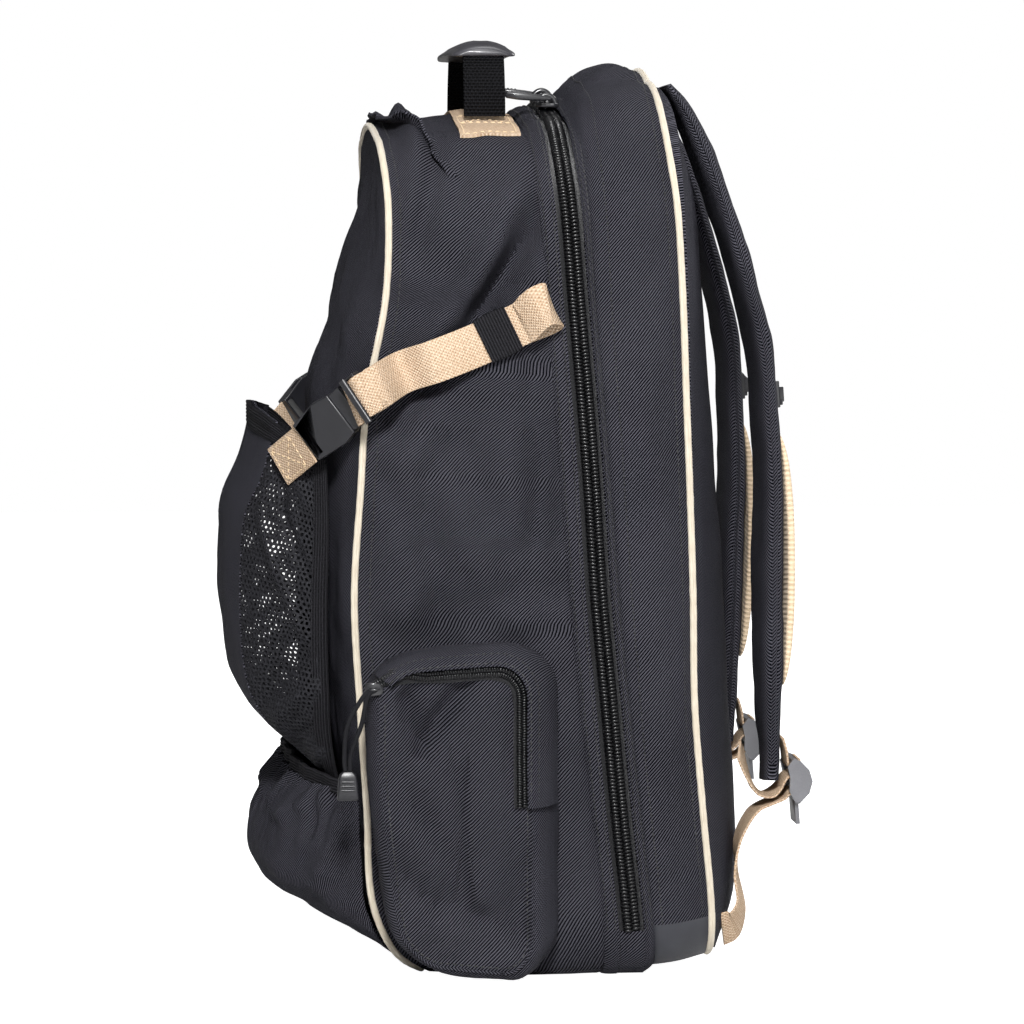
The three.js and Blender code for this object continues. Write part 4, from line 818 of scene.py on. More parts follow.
def coil_turns(line, normals, width, height, pitch, turns_back=0.25):
    """The two rows of nylon turns of a closed coil zip along a line, each turn a bent bead. The turns of one row lie
    between those of the other."""
    run = np.concatenate([[0], np.cumsum(np.linalg.norm(np.diff(line, axis=0), axis=1))])
    count = int(run[-1] / pitch)
    at = (np.arange(count) + 0.5) * pitch
    arch = [(-0.06, 0.2), (0.05, 0.75), (0.3, 1.0), (0.7, 0.9), (0.95, 0.45), (1.0, 0.05)]
    wire = pitch * 0.36
    sides = 5
    parts_points, parts_faces, parts_lay = [], [], []
    start = 0
    tangent = np.gradient(line, axis=0)
    tangent /= np.linalg.norm(tangent, axis=1, keepdims=True)
    for row, shift in ((-1, 0.0), (1, 0.5)):
        where = at + shift * pitch
        middle = np.stack([np.interp(where, run, line[:, k]) for k in range(3)], axis=1)
        ahead = np.stack([np.interp(where, run, tangent[:, k]) for k in range(3)], axis=1)
        out = np.stack([np.interp(where, run, normals[:, k]) for k in range(3)], axis=1)
        ahead /= np.linalg.norm(ahead, axis=1, keepdims=True)
        side = np.cross(ahead, out)
        side /= np.linalg.norm(side, axis=1, keepdims=True)
        out = np.cross(side, ahead)
        for k, (w, h) in enumerate(arch):
            centre = (middle + side * (row * w * width / 2) + out * (h * (height - wire))
                      + ahead * (turns_back * pitch * (w - 0.5)))
            angle = np.arange(sides) / sides * 2 * math.pi
            thin = wire * (0.8 if k in (0, len(arch) - 1) else 1.0)
            ring = centre[:, None] + thin * (ahead[:, None] * np.cos(angle)[None, :, None]
                                             + out[:, None] * np.sin(angle)[None, :, None] * 0.95)
            parts_points.append(ring.reshape(-1, 3))
            parts_lay.append(np.zeros((count * sides, 3)) + [0, 0, h])
        rings = [start + k * count * sides for k in range(len(arch))]
        for n in range(count):
            for k in range(len(arch) - 1):
                a, b = rings[k] + n * sides, rings[k + 1] + n * sides
                quads = [(a + j, a + (j + 1) % sides, b + (j + 1) % sides, b + j) for j in range(sides)]
                parts_faces += [quad[::-1] for quad in quads] if row < 0 else quads
            for ring_start, back in ((rings[0], row > 0), (rings[-1], row < 0)):
                cap = tuple(ring_start + n * sides + j for j in range(sides))
                parts_faces.append(cap[::-1] if back else cap)
        start += len(arch) * count * sides
    return np.concatenate(parts_points), parts_faces, np.concatenate(parts_lay)


coil_finish = moulded_plastic("black_nylon_coil", (0.0015, 0.0015, 0.002), 0.26)
zip_loop = loop_of("zip")
zip_ahead = np.roll(zip_loop, -1, 0) - np.roll(zip_loop, 1, 0)
zip_out = np.stack([zip_ahead[:, 2], 0 * zip_ahead[:, 0], -zip_ahead[:, 0]], axis=1)
zip_out /= np.linalg.norm(zip_out, axis=1, keepdims=True)
coil_line = (zip_loop + zip_out * (TAPE_LIFT + 0.5))[zip_columns]
COIL_PITCH = 2.1
piece("main_zip_coil_turns", [coil_turns(coil_line, zip_out[zip_columns], COIL_WIDTH, COIL_HEIGHT + 0.6, COIL_PITCH)],
      coil_finish, ["main_zip_coil"], sharp=80)

# ---------------------------------------------------------------- Rear shell
# The rear half of the body: a band of twill from the zip's flap to the rear piping, which humps up over the top,
# with a coated cloth cover at its foot and one strip of plain twill as the hinge under the base.
rear_start, rear_end = loop_of("rearSeam", -SEAM_TUCK), loop_of("rear", -1.9)


def rear_rise(share, points):
    rise = 4 * share * (1 - share) * (6 * side_slack + 11 * top_slack)
    soft = crumple(points * [1, 1, 0.45], 34, 51.0) * 4.6 + crumple(points, 17, 57.0) * 1.3
    near_seam = math.exp(-share / 0.06) + math.exp(-(1 - share) / 0.06)
    pucker = 0.35 * np.sin(np.arange(LOOP_STEPS) * 1.9) * near_seam
    edge = min(1, share / 0.1, (1 - share) / 0.1)
    rise = rise - SEAM_SINK * tucked(1 - share, 0.87)
    return rise + (soft * edge + pucker) * np.maximum(side_slack, 0.8 * top_slack)


over_base = np.arange(SIDE_START, LOOP_STEPS - SIDE_START + 1)
under_base = np.arange(LOOP_STEPS - SIDE_START, LOOP_STEPS + SIDE_START + 1)
rear_points = band(rear_start, rear_end, 26, rear_rise, over_base)
rear_shell = piece("rear_shell_cloth", [wall(rear_points, CLOTH)], black_twill, ["rear_gusset"])


def coated_cloth():
    made = finish_of("coated_base_cloth", (0.03, 0.031, 0.038), 0.5, specular=0.4)
    along, across, _, lay = along_cloth(made)
    weave = maths(made, "MULTIPLY", waves(made, along, 1.1), waves(made, across, 1.1))
    patch = speckle(made, object_place(made), 30, 3)
    coloured(made, patch, [(0.3, (0.018, 0.019, 0.024)), (0.8, (0.045, 0.046, 0.056))])
    raised(made, maths(made, "MULTIPLY_ADD", patch, 0.8, maths(made, "MULTIPLY", weave, 0.3)), 0.2, 0.6)
    return made


coated = coated_cloth()
cover_points = band(rear_start, rear_end, 22, rear_rise, under_base)
rear_cover = piece("rear_base_cloth", [wall(cover_points, CLOTH)], coated, ["rear_base_cover"])
hinge_points = band(loop_of("zip", -FLAP_EDGE + SEAM_GAP), loop_of("zip", FLAP_EDGE - SEAM_GAP), 8,
                    lambda share, points: 0.0, under_base)
piece("base_hinge_cloth", [wall(hinge_points, CLOTH)], black_twill, ["base_hinge"])


# ---------------------------------------------------------------- Carry handle
# Two legs of doubled black webbing and a moulded grip with raised ribs, sewn with a box of stitches on a tan
# webbing patch that lies across the top of the body.
WEBBING_WIDTH, WEBBING_THICKNESS = 25, 1.5
HANDLE_SPAN, GRIP_TOP, GRIP_LENGTH, GRIP_WIDTH, GRIP_THICKNESS = 140, 558, 128, 42, 12
PATCH_LENGTH, PATCH_REACH = 36, 114


def woven_webbing(name, dark, light, weft=2.6, warp=2.2, depth=0.3, roughness=0.82, row_share=0.3):
    """Plain woven tape: bumps in columns, each column's lying between its neighbours'."""
    made = finish_of(name, light, roughness, specular=0.08)
    along, across, wear, lay = along_cloth(made)
    weave = maths(made, "MULTIPLY", waves(made, along, weft), waves(made, across, warp))
    rows = waves(made, along, weft / 2)
    uneven = speckle(made, lay, 0.55, 3)
    patch = speckle(made, object_place(made), 22, 3)
    height = maths(made, "MULTIPLY_ADD", rows, row_share, weave)
    share = maths(made, "MULTIPLY_ADD", height, 0.22, maths(made, "MULTIPLY", uneven, 0.6))
    share = maths(made, "MULTIPLY_ADD", patch, 0.35, share)
    coloured(made, share, [(0.2, dark), (0.8, light)])
    roughened(made, uneven, roughness - 0.06, roughness + 0.08)
    raised(made, height, depth, 0.8)
    return made


tan_webbing = woven_webbing("tan_webbing", (0.31, 0.2, 0.115), (0.65, 0.515, 0.39))
black_webbing = woven_webbing("black_webbing", (0.0004, 0.0004, 0.0006), (0.0075, 0.0075, 0.009), weft=4.0, warp=2.4,
                              depth=0.4, roughness=0.55, row_share=1.2)


def strap(stops, across, width=WEBBING_WIDTH, thickness=WEBBING_THICKNESS, count=60, ribs=0, swell=None, taper=None):
    """A flat strap through its stops; across is the direction of its width at each. Ribs run along it. Swell and
    taper give a share of the thickness and of the width at each share of the length."""
    stops = np.asarray(stops, float)
    across = np.broadcast_to(np.asarray(across, float), stops.shape)
    line = smooth_line(np.hstack([stops, across / 1000]), count)
    path, across = line[:, :3], line[:, 3:]
    ahead = np.gradient(path, axis=0)
    ahead /= np.linalg.norm(ahead, axis=1, keepdims=True)
    across = across - ahead * np.sum(across * ahead, axis=1, keepdims=True)
    across /= np.linalg.norm(across, axis=1, keepdims=True)
    out = np.cross(ahead, across)
    if ribs:
        steps = 6 * ribs
        u = np.linspace(1, -1, steps + 1) * (width / 2 - 0.3)
        v = thickness / 2 * (0.72 + 0.28 * np.abs(np.cos(np.linspace(0, ribs * math.pi, steps + 1) + math.pi / 2)))
        outline = np.concatenate([np.stack([u, v], 1), np.stack([u[::-1], -v], 1)])
    else:
        outline = rounded_section(width / 2, thickness / 2, thickness * 0.45, 3)
    scale = np.ones(count) if swell is None else swell(np.linspace(0, 1, count))
    wide = np.ones(count) if taper is None else taper(np.linspace(0, 1, count))
    sections = (path[:, None] + across[:, None] * outline[None, :, :1] * wide[:, None, None]
                + out[:, None] * outline[None, :, 1:] * scale[:, None, None])
    points, faces, lay = lofted(sections)
    lay[:, 1] = np.tile(outline[:, 0], count)
    return points, faces, lay


STITCH, STITCH_GAP, THREAD = 3.0, 1.0, 0.42


def stitches(line, slopes, closed=False):
    """A row of stitches on a line over cloth that faces the way its slopes say."""
    line, slopes = np.asarray(line, float), np.asarray(slopes, float)
    if closed:
        line, slopes = np.concatenate([line, line[:1]]), np.concatenate([slopes, slopes[:1]])
    run = np.concatenate([[0], np.cumsum(np.linalg.norm(np.diff(line, axis=0), axis=1))])
    count = max(1, int(run[-1] / (STITCH + STITCH_GAP)))
    starts = (np.arange(count) + 0.15) * run[-1] / count
    rings = []
    for share, lift, radius in ((0, -0.25, 0.25), (0.25, 0.16, THREAD), (0.75, 0.16, THREAD), (1, -0.25, 0.25)):
        at = starts + share * STITCH
        middle = np.stack([np.interp(at, run, line[:, k]) for k in range(3)], axis=1)
        slope = np.stack([np.interp(at, run, slopes[:, k]) for k in range(3)], axis=1)
        step = np.stack([np.interp(at + 0.5, run, line[:, k]) - np.interp(at - 0.5, run, line[:, k])
                         for k in range(3)], axis=1)
        step /= np.linalg.norm(step, axis=1, keepdims=True) + 1e-9
        side = np.cross(step, slope)
        angle = np.arange(5) / 5 * 2 * math.pi
        rings.append((middle + slope * lift)[:, None] + radius * (
            side[:, None] * np.cos(angle)[None, :, None] + slope[:, None] * np.sin(angle)[None, :, None]))
    points = np.stack(rings, axis=1).reshape(-1, 3)
    faces = []
    for n in range(count):
        start = n * 20
        for k in range(3):
            a, b = start + 5 * k, start + 5 * k + 5
            faces += [(a + j, b + j, b + (j + 1) % 5, a + (j + 1) % 5) for j in range(5)]
        faces += [tuple(start + j for j in range(5)), tuple(start + 15 + j for j in reversed(range(5)))]
    return points, faces, np.zeros((len(points), 3))


tan_thread = finish_of("tan_thread", (0.6, 0.45, 0.28), 0.7, sheen=0.1)
black_thread = finish_of("black_thread", (0.012, 0.012, 0.014), 0.6, sheen=0.05)
for thread in (tan_thread, black_thread):
    ply = waves(thread, node_in(thread, "ShaderNodeSeparateXYZ", {0: object_place(thread)}).outputs[2], 0.0009)
    raised(thread, ply, 0.1, 0.5)

patch_x = np.linspace(-PATCH_REACH, PATCH_REACH, 58)
patch_y = np.linspace(-PATCH_LENGTH / 2, PATCH_LENGTH / 2, 10) + HANDLE_PLACE
patch_grid = np.array([[(x, y, 560) for x in patch_x] for y in patch_y])
patch_points = seated(gusset_surface, patch_grid, (0, 0, -1))[0].reshape(patch_grid.shape)
for _ in range(6):  # the stiff webbing bridges the cloth's small dents
    smoothed = (np.roll(patch_points, 1, 1) + np.roll(patch_points, -1, 1))[:, 1:-1] / 2
    patch_points[:, 1:-1, 2] = np.maximum(smoothed[..., 2], patch_points[:, 1:-1, 2] - 0.4)
patch_points[:, :, 2] += 2.2
patch_lay = np.stack([lengths(patch_points, 1), patch_points[..., 1], 0 * patch_points[..., 0]], axis=2)
top_patch = piece("handle_patch_webbing", [wall(patch_points, 1.6, lay=patch_lay)], tan_webbing,
                  ["handle_patch"])
patch_surface = surface_of(top_patch)


def box_of(low_x, high_x, low_y, high_y, z, cross=False):
    """The corners of a box of stitches, and of the cross inside it."""
    a, b, c, d = (low_x, low_y, z), (high_x, low_y, z), (high_x, high_y, z), (low_x, high_y, z)
    runs = [(a, b), (b, c), (c, d), (d, a)] + ([(a, c), (b, d)] if cross else [])
    return [np.linspace(start, end, 14) for start, end in runs]


patch_stitches = []
for low, high, cross in ((-PATCH_REACH + 3, -78, False), (-76, -52, True), (52, 76, True), (78, PATCH_REACH - 3, False)):
    for run in box_of(low, high, HANDLE_PLACE - 15.5, HANDLE_PLACE + 15.5, 560, cross):
        patch_stitches.append(stitches(*seated(patch_surface, run, (0, 0, -1))))
piece("handle_patch_stitches", patch_stitches, tan_thread, ["handle_patch"])

GRIP_FOOT = GRIP_TOP - GRIP_THICKNESS
leg_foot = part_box("handle_leg_right")[0][2] * 1000
leg_stops = [(HANDLE_SPAN / 2 - 10 * t * t, HANDLE_PLACE, leg_foot + (GRIP_FOOT + 1 - leg_foot) * t)
             for t in np.linspace(0, 1, 6)]
leg_layers = [strap(np.array(leg_stops) + [out, 0, 0], (0, 1, 0), WEBBING_WIDTH, 1.35, 16) for out in (-0.8, 0.8)]
pair("handle_leg_webbing", leg_layers, black_webbing, ["handle_leg"])

grip_ring = rounded_section(1, 1, 0.8, 9)
grip_sections = []
for at in np.linspace(-1, 1, 141):
    end = math.sqrt(1 - min(1, max(0, abs(at) - 0.93) / 0.07) ** 2 * 0.8)
    section = []
    for u, v in grip_ring:
        swell = math.sin(2 * math.pi * at * GRIP_LENGTH / 2 / 9 + 1.9 * math.sin(2.4 * u))
        rib = 0.75 * max(swell, -0.5) * max(v, 0) * (abs(at) < 0.9) * (abs(u) < 0.8)
        dome = 5.6 * u * u + 5.2 * at ** 6
        top = GRIP_TOP - 0.8 - dome * (1 - 0.35 * abs(at) ** 6) + rib
        foot = GRIP_FOOT + 0.6 + 1.6 * (1 - at * at) - 0.8 * u * u
        height = max(top - foot, 0.8)
        section.append((at * GRIP_LENGTH / 2, HANDLE_PLACE + u * GRIP_WIDTH / 2 * (1 - 0.14 * abs(at) ** 5) * end ** 0.3,
                        foot + height * (0.42 + (v / 2 + 0.08) * end)))
    grip_sections.append(section)
grip_plastic = moulded_plastic("grip_rubber", (0.026, 0.0255, 0.03), 0.34, coat=0.2)
piece("handle_grip_moulding", [lofted(grip_sections)], grip_plastic, ["handle_grip"], sharp=70)


def eased(name, node, finish, width=0.5, segments=3):
    """A moulding of the shape of its solid, with every edge softened."""
    source = bpy.data.objects[node]
    mesh = source.data.copy()
    shell = bmesh.new()
    shell.from_mesh(mesh)
    bmesh.ops.remove_doubles(shell, verts=shell.verts, dist=1e-6)
    bmesh.ops.dissolve_limit(shell, angle_limit=math.radians(2), verts=shell.verts, edges=shell.edges)
    shell.to_mesh(mesh)
    shell.free()
    mesh.materials.clear()
    mesh.materials.append(finish)
    mesh.shade_smooth()
    mesh.set_sharp_from_angle(angle=math.radians(50))
    made = add_to_scene(name, mesh)
    made.matrix_world = source.matrix_world
    bevel = made.modifiers.new("eased_edges", "BEVEL")
    bevel.width, bevel.segments = width / 1000, segments
    bevel.limit_method, bevel.angle_limit = "ANGLE", math.radians(28)
    bevel.harden_normals = False
    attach(made, "root")
    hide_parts(node)
    return made


# ---------------------------------------------------------------- Main zip sliders
# Two moulded sliders drawn together at the top, each with a long pull tab.
slider_metal = moulded_plastic("slider_enamel", (0.012, 0.012, 0.014), 0.3, coat=0.3)
for side in ("right", "left"):
    eased("main_slider_body_" + side, "main_slider_" + side, slider_metal, 0.6)
    pull_low, pull_high = (np.array(corner) * 1000 - BAG_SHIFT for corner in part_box("main_pull_" + side))
    pull_x = (pull_low[0] + pull_high[0]) / 2
    pull_sections = []
    for share, half, thick in ((0, 1.6, 1.0), (0.04, 3.2, 1.9), (0.3, 3.9, 2.3), (0.6, 3.4, 2.1), (0.84, 2.4, 1.7), (1, 1.8, 1.0)):
        middle = [pull_x, pull_low[1] + (pull_high[1] - pull_low[1]) * share, pull_high[2] - 1.6 - 2.4 * share]
        pull_sections.append([np.array(middle) + [u, 0, v] for u, v in rounded_section(half, thick, 1.2)])
    pull_parts = [lofted(pull_sections)]
    for share in (0.16, 0.24, 0.32, 0.4):
        middle = [pull_x, pull_low[1] + (pull_high[1] - pull_low[1]) * share, pull_high[2] + 0.5 - 2.4 * share]
        pull_parts.append(tube([np.array(middle) + [u, 0, 0] for u in np.linspace(-2.6, 2.6, 5)], 0.6, 8, up=(0, 0, 1)))
    slider_low, slider_high = (np.array(corner) * 1000 - BAG_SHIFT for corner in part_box("main_slider_" + side))
    slider_x, slider_top = (slider_low[0] + slider_high[0]) / 2, slider_high[2]
    bridge = [(slider_x, slider_low[1] + 1.5, slider_top - 2.5), (slider_x, slider_low[1] + 3, slider_top + 1),
              (slider_x, (slider_low[1] + slider_high[1]) / 2, slider_top + 2.6),
              (slider_x, slider_high[1] - 3, slider_top + 0.6), (slider_x, slider_high[1] - 1.5, slider_top - 2.5)]
    pull_parts.append(tube(smooth_line(bridge, 22), 1.7, 10))
    piece("main_pull_tab_" + side, pull_parts, slider_metal, ["main_pull_" + side])

# ---------------------------------------------------------------- Helmet sling
# A panel of twill that stands off the front and carries a helmet, with an elastic hem along its top edge. It is
# sewn to the front panel at its foot.
sling_table = {
    "at": [0.0, 0.1, 0.2, 0.3, 0.45, 0.6, 0.75, 0.85, 1.0],
    "front": [0.062, 0.175, 0.31, 0.375, 0.4, 0.405, 0.395, 0.345, 0.3],
    "corner": [0.015, 0.02, 0.035, 0.045, 0.05, 0.055, 0.06, 0.06, 0.06],
    "edge": [0.012, 0.1, 0.22, 0.28, 0.3, 0.305, 0.3, 0.25, 0.2],
    "cornerX": [0.3, 0.31, 0.31, 0.31, 0.3, 0.29, 0.29, 0.3, 0.31],
    "edgeX": [0.365, 0.385, 0.405, 0.42, 0.425, 0.425, 0.42, 0.415, 0.41],
}
SLING_ROOT, SLING_TOP, SLING_DROOP, FRONT_WIDTH = 104, 336, 14, 300


def sling_point(across, up):
    """A point of the sling: across runs from 0 at the middle to 1 at the panel's corner and 2 at the bound edge."""
    across, up = np.broadcast_arrays(np.asarray(across, float), np.asarray(up, float))
    front = FRONT_PLACE - BODY_DEPTH * column(sling_table, "front", up)
    corner_x, edge_x = (FRONT_WIDTH * column(sling_table, name, up) for name in ("cornerX", "edgeX"))
    corner_y, edge_y = (front + BODY_DEPTH * column(sling_table, name, up) for name in ("corner", "edge"))
    side, a = np.sign(across), np.abs(across)
    z = SLING_ROOT + (SLING_TOP - SLING_DROOP * a * a * 0.5 - SLING_ROOT) * up
    t = np.clip(a - 1, 0, 1)
    swell = 20 * t * (1 - t) * np.sin(math.pi * np.clip(up, 0, 1))
    x = np.where(a <= 1, a * corner_x, corner_x + (edge_x - corner_x) * t + swell)
    y = np.where(a <= 1, front + (corner_y - front) * np.minimum(a, 1) ** 2.4,
                 corner_y + (edge_y - corner_y) * t - swell * 0.5)
    return np.stack([side * x, y, z], axis=-1)


sling_up, sling_across = np.meshgrid(np.linspace(0, 1, 56), np.linspace(-1, 1, 60), indexing="ij")
sling_points = sling_point(sling_across, sling_up)
sling_dents = 1.6 * crumple(sling_points, 34, 61.0) + 0.5 * crumple(sling_points, 13, 67.0)
sling_dents += 1.5 * np.sin(sling_across * 9 + sling_up * 2) * np.exp(-((sling_up - 0.06) / 0.12) ** 2)
sling_points[..., 1] += sling_dents * np.clip(sling_up / 0.05, 0, 1) * np.clip((1 - np.abs(sling_across)) / 0.08, 0.15, 1)
sling_cloth = piece("helmet_sling_cloth", [wall(sling_points, 1.6)], black_twill,
                    ["helmet_sling_panel"])


def knitted_elastic(name, dark, light, pitch=1.7):
    """Ribbed elastic: cords of rubber under knitted yarn, with fine courses across them."""
    made = finish_of(name, light, 0.8, specular=0.1)
    along, across, wear, lay = along_cloth(made)
    ribs = waves(made, across, pitch)
    courses = waves(made, along, 0.9)
    uneven = speckle(made, lay, 1.1, 3)
    height = maths(made, "MULTIPLY_ADD", courses, 0.3, ribs)
    share = maths(made, "MULTIPLY_ADD", height, 0.25, uneven)
    coloured(made, share, [(0.2, dark), (0.8, light)])
    roughened(made, uneven, 0.75, 0.92)
    raised(made, height, 0.3, 0.8)
    return made


elastic = knitted_elastic("black_elastic", (0.0012, 0.0012, 0.0018), (0.022, 0.0215, 0.025))
hem_across = np.linspace(-1.9, 1.9, 60)
hem_stops = sling_point(hem_across, 0.972 - 0.02 * np.clip(np.abs(hem_across) - 0.8, 0, 1) ** 2)
hem_stops[:, 0] += np.sign(hem_across) * np.clip(np.abs(hem_across) - 0.9, 0, 0.3) * 3
hem_stops[:, 1] += 0.4 * np.sin(hem_across * 26) - 0.6
hem_stops = smooth_line(hem_stops[::3], 60)
piece("sling_top_hem", [strap(hem_stops, (0, 0, 1), 14, 3.2, 170, ribs=6, taper=lambda share: np.clip(
    1.28 - 1.1 * np.abs(2 * share - 1) ** 3, 0.35, 1))], elastic, ["helmet_sling_panel"])

# ---------------------------------------------------------------- Sling nets
# Knitted net at both sides of the sling, so that a wet helmet airs. Each net is one sheet of stout mesh, sewn to the
# panel's edge in front and bound with ribbed elastic behind.


def cut_sheet(points, faces, thickness, inside, lay):
    """A sheet with a thickness, closed round its edges and round every hole in it."""
    corners = np.array([[points[v] for v in face[:3]] for face in faces])
    slopes = np.cross(corners[:, 1] - corners[:, 0], corners[:, 2] - corners[:, 0])
    normals = np.zeros_like(points)
    for face, slope in zip(faces, slopes):
        for v in face:
            normals[v] += slope
    normals /= np.linalg.norm(normals, axis=1, keepdims=True) + 1e-12
    if np.sum(normals * (points - inside)) < 0:
        faces = [tuple(reversed(face)) for face in faces]
        normals = -normals
    count = len(points)
    edges = {}
    for face in faces:
        for a, b in zip(face, face[1:] + face[:1]):
            edges[(a, b)] = True
    rims = [(b, a, a + count, b + count) for a, b in edges if (b, a) not in edges]
    backs = [tuple(v + count for v in reversed(face)) for face in faces]
    return (np.concatenate([points, points - normals * thickness]), list(faces) + backs + rims,
            np.concatenate([lay, lay]))


NET_COLUMNS, NET_ROWS, NET_HOLE, NET_THICKNESS = 20, 72, 0.56, 1.0
NET_FOLDS = [  # share of the way up, its lean, width and depth: where the slack net has dropped into folds
    (0.1, 0.1, 0.025, 4.2), (0.17, 0.12, 0.02, -3.4), (0.25, 0.2, 0.03, 4.6), (0.35, 0.25, 0.03, -3.6),
    (0.62, -0.5, 0.04, 3.0), (0.78, -0.4, 0.03, -2.6), (0.9, -0.2, 0.03, 2.4),
]


def net_sheet():
    """A staggered net: six-sided meshes, each with its hole, over the sling's side."""
    nodes, faces, hole_points = {}, [], []
    flat = []

    def node(u, v):
        key = (round(u * 6), round(v * 6))
        if key not in nodes:
            nodes[key] = len(flat)
            flat.append((u, v, 1.0))
        return nodes[key]

    around = [(0.5, 1 / 3), (0.0, 2 / 3), (-0.5, 1 / 3), (-0.5, -1 / 3), (0.0, -2 / 3), (0.5, -1 / 3)]
    for row in range(NET_ROWS):
        shift = 0.5 if row % 2 else 0.0
        for at in range(NET_COLUMNS - (row % 2)):
            centre = (at + 0.5 + shift, row + 2 / 3)
            outer = [node(centre[0] + du, centre[1] + dv) for du, dv in around]
            inner = []
            for du, dv in around:
                inner.append(len(flat))
                flat.append((centre[0] + du * NET_HOLE, centre[1] + dv * NET_HOLE, 0.0))
            faces += [(outer[k], outer[(k + 1) % 6], inner[(k + 1) % 6], inner[k]) for k in range(6)]
    flat = np.array(flat)
    drift = np.stack([crumple(flat * [1, 1, 0] + [0, 0, 5], 2.2, 75.0), crumple(flat * [1, 1, 0], 2.2, 77.0)], axis=1)
    inside_net = np.clip(flat[:, 0] / 2, 0, 1) * np.clip((NET_COLUMNS - flat[:, 0]) / 2, 0, 1) * np.clip(flat[:, 1] / 2, 0, 1)
    flat[:, :2] += 0.42 * drift * inside_net[:, None]
    across = 1.0 + 0.97 * flat[:, 0] / NET_COLUMNS
    up = 0.975 * flat[:, 1] / (NET_ROWS + 1 / 3)
    points = sling_point(across, up)
    sag = 2.4 * crumple(points, 30, 71.0) + 0.8 * crumple(points, 11, 73.0)
    for place, lean, width, depth in NET_FOLDS:
        sag = sag + depth * np.exp(-((up - place - lean * (across - 1.5)) / width) ** 2)
    middle = (across - 1) * (2 - across) * 4 * np.clip(up * 12, 0, 1)
    points = points + np.stack([sag, -0.6 * sag, 0 * sag], axis=1) * middle[:, None]
    lay = np.stack([points[:, 2], (across - 1) * 60, 0.3 * flat[:, 2]], axis=1)
    return cut_sheet(points, faces, NET_THICKNESS, np.array([60, -130, 220]), lay)


def knitted_net():
    made = finish_of("black_knitted_net", (0.01, 0.01, 0.012), 0.75, specular=0.15)
    place = object_place(made)
    loops = node_in(made, "ShaderNodeTexVoronoi", {"Vector": place, "Scale": 900}).outputs["Distance"]
    yarn = speckle(made, place, 500, 3)
    share = maths(made, "MULTIPLY_ADD", loops, 0.6, maths(made, "MULTIPLY", yarn, 0.6))
    coloured(made, share, [(0.25, (0.0015, 0.0015, 0.002)), (0.85, (0.02, 0.02, 0.024))])
    raised(made, share, 0.4, 0.9)
    return made


net_parts = [net_sheet()]
pair("sling_net_mesh", net_parts, knitted_net(), ["sling_net"])

# ---------------------------------------------------------------- Sling edges
# Flat ribbed elastic folded over each net's rear edge, with a round cord at its very edge. It springs the sling
# back against the bag.
edge_up = np.linspace(0, 0.985, 40)
edge_line = sling_point(np.full(40, 2.0), edge_up)
edge_in = sling_point(np.full(40, 1.9), edge_up) - edge_line
edge_in /= np.linalg.norm(edge_in, axis=1, keepdims=True)
edge_parts = [strap(edge_line + edge_in * 4.8, edge_in, 9, 2.6, 130, ribs=5)]
edge_parts.append(tube(smooth_line(edge_line - edge_in * 0.4, 130), 1.0, 8, up=(0, 1, 0)))
pair("sling_edge_band", edge_parts, elastic, ["sling_edge_elastic"])

# ---------------------------------------------------------------- Lower pocket
# A gathered pouch of twill round the foot of the front, for brushes and gloves, drawn in at the top by a ribbed
# elastic hem.
pouch_table = {
    "at": [0.0, 0.17, 0.3, 0.55, 0.8, 1.0],
    "reach": [0.02, 0.54, 0.84, 0.92, 0.75, 0.42],
    "width": [0.88, 0.925, 0.94, 0.95, 0.95, 0.94],
}
POUCH_FOOT, POUCH_TOP, POUCH_REACH, POUCH_GATHERS, GATHER_DEPTH, HEM_HEIGHT = 13, 122, 56, 7, 1.3, 9
POUCH_FOLDS = [  # ends as (y, z), width and depth: folds that fan out from the ends of the hem
    ((-128, 118), (-162, 92), 4.5, 4.5), ((-126, 116), (-150, 84), 4, -3.5), ((-122, 114), (-138, 62), 5, 4.2),
    ((-116, 112), (-120, 60), 5, -3.4), ((-150, 116), (-168, 98), 4, 3.6), ((-168, 62), (-120, 44), 8, 3.0),
    ((-150, 40), (-112, 66), 6, -2.6),
]
front_surface = surface_of(front_panel)


def folds_on(y, z, folds):
    """The sum of folds along straight lines, for places seen from the side."""
    total = np.zeros(np.shape(y))
    for start, end, width, depth in folds:
        along = np.array(end, float) - start
        away = np.stack([y - start[0], z - start[1]], axis=-1)
        t = np.clip(away @ along / (along @ along), 0, 1)
        total -= depth * np.exp(-(np.linalg.norm(away - t[..., None] * along, axis=-1) / width) ** 2)
    return total


def pouch_point(across, up, gather=GATHER_DEPTH):
    across, up = np.broadcast_arrays(np.asarray(across, float), np.asarray(up, float))
    z = POUCH_FOOT + (POUCH_TOP - HEM_HEIGHT - POUCH_FOOT) * up
    x = FRONT_WIDTH / 2 * column(pouch_table, "width", up) * across
    full = np.maximum(0, 1 - np.abs(across) ** 3.4) ** 0.75
    reach = POUCH_REACH * column(pouch_table, "reach", up) * full
    seats = seated(front_surface, np.stack([x, x * 0 - 150, z], axis=-1), (0, 1, 0))[0][:, 1].reshape(x.shape)
    wave = np.cos(POUCH_GATHERS * math.pi * across + up * 1.5) * (1 - across ** 2) * up
    return np.stack([x, seats - 3.6 - reach + gather * wave, z], axis=-1)


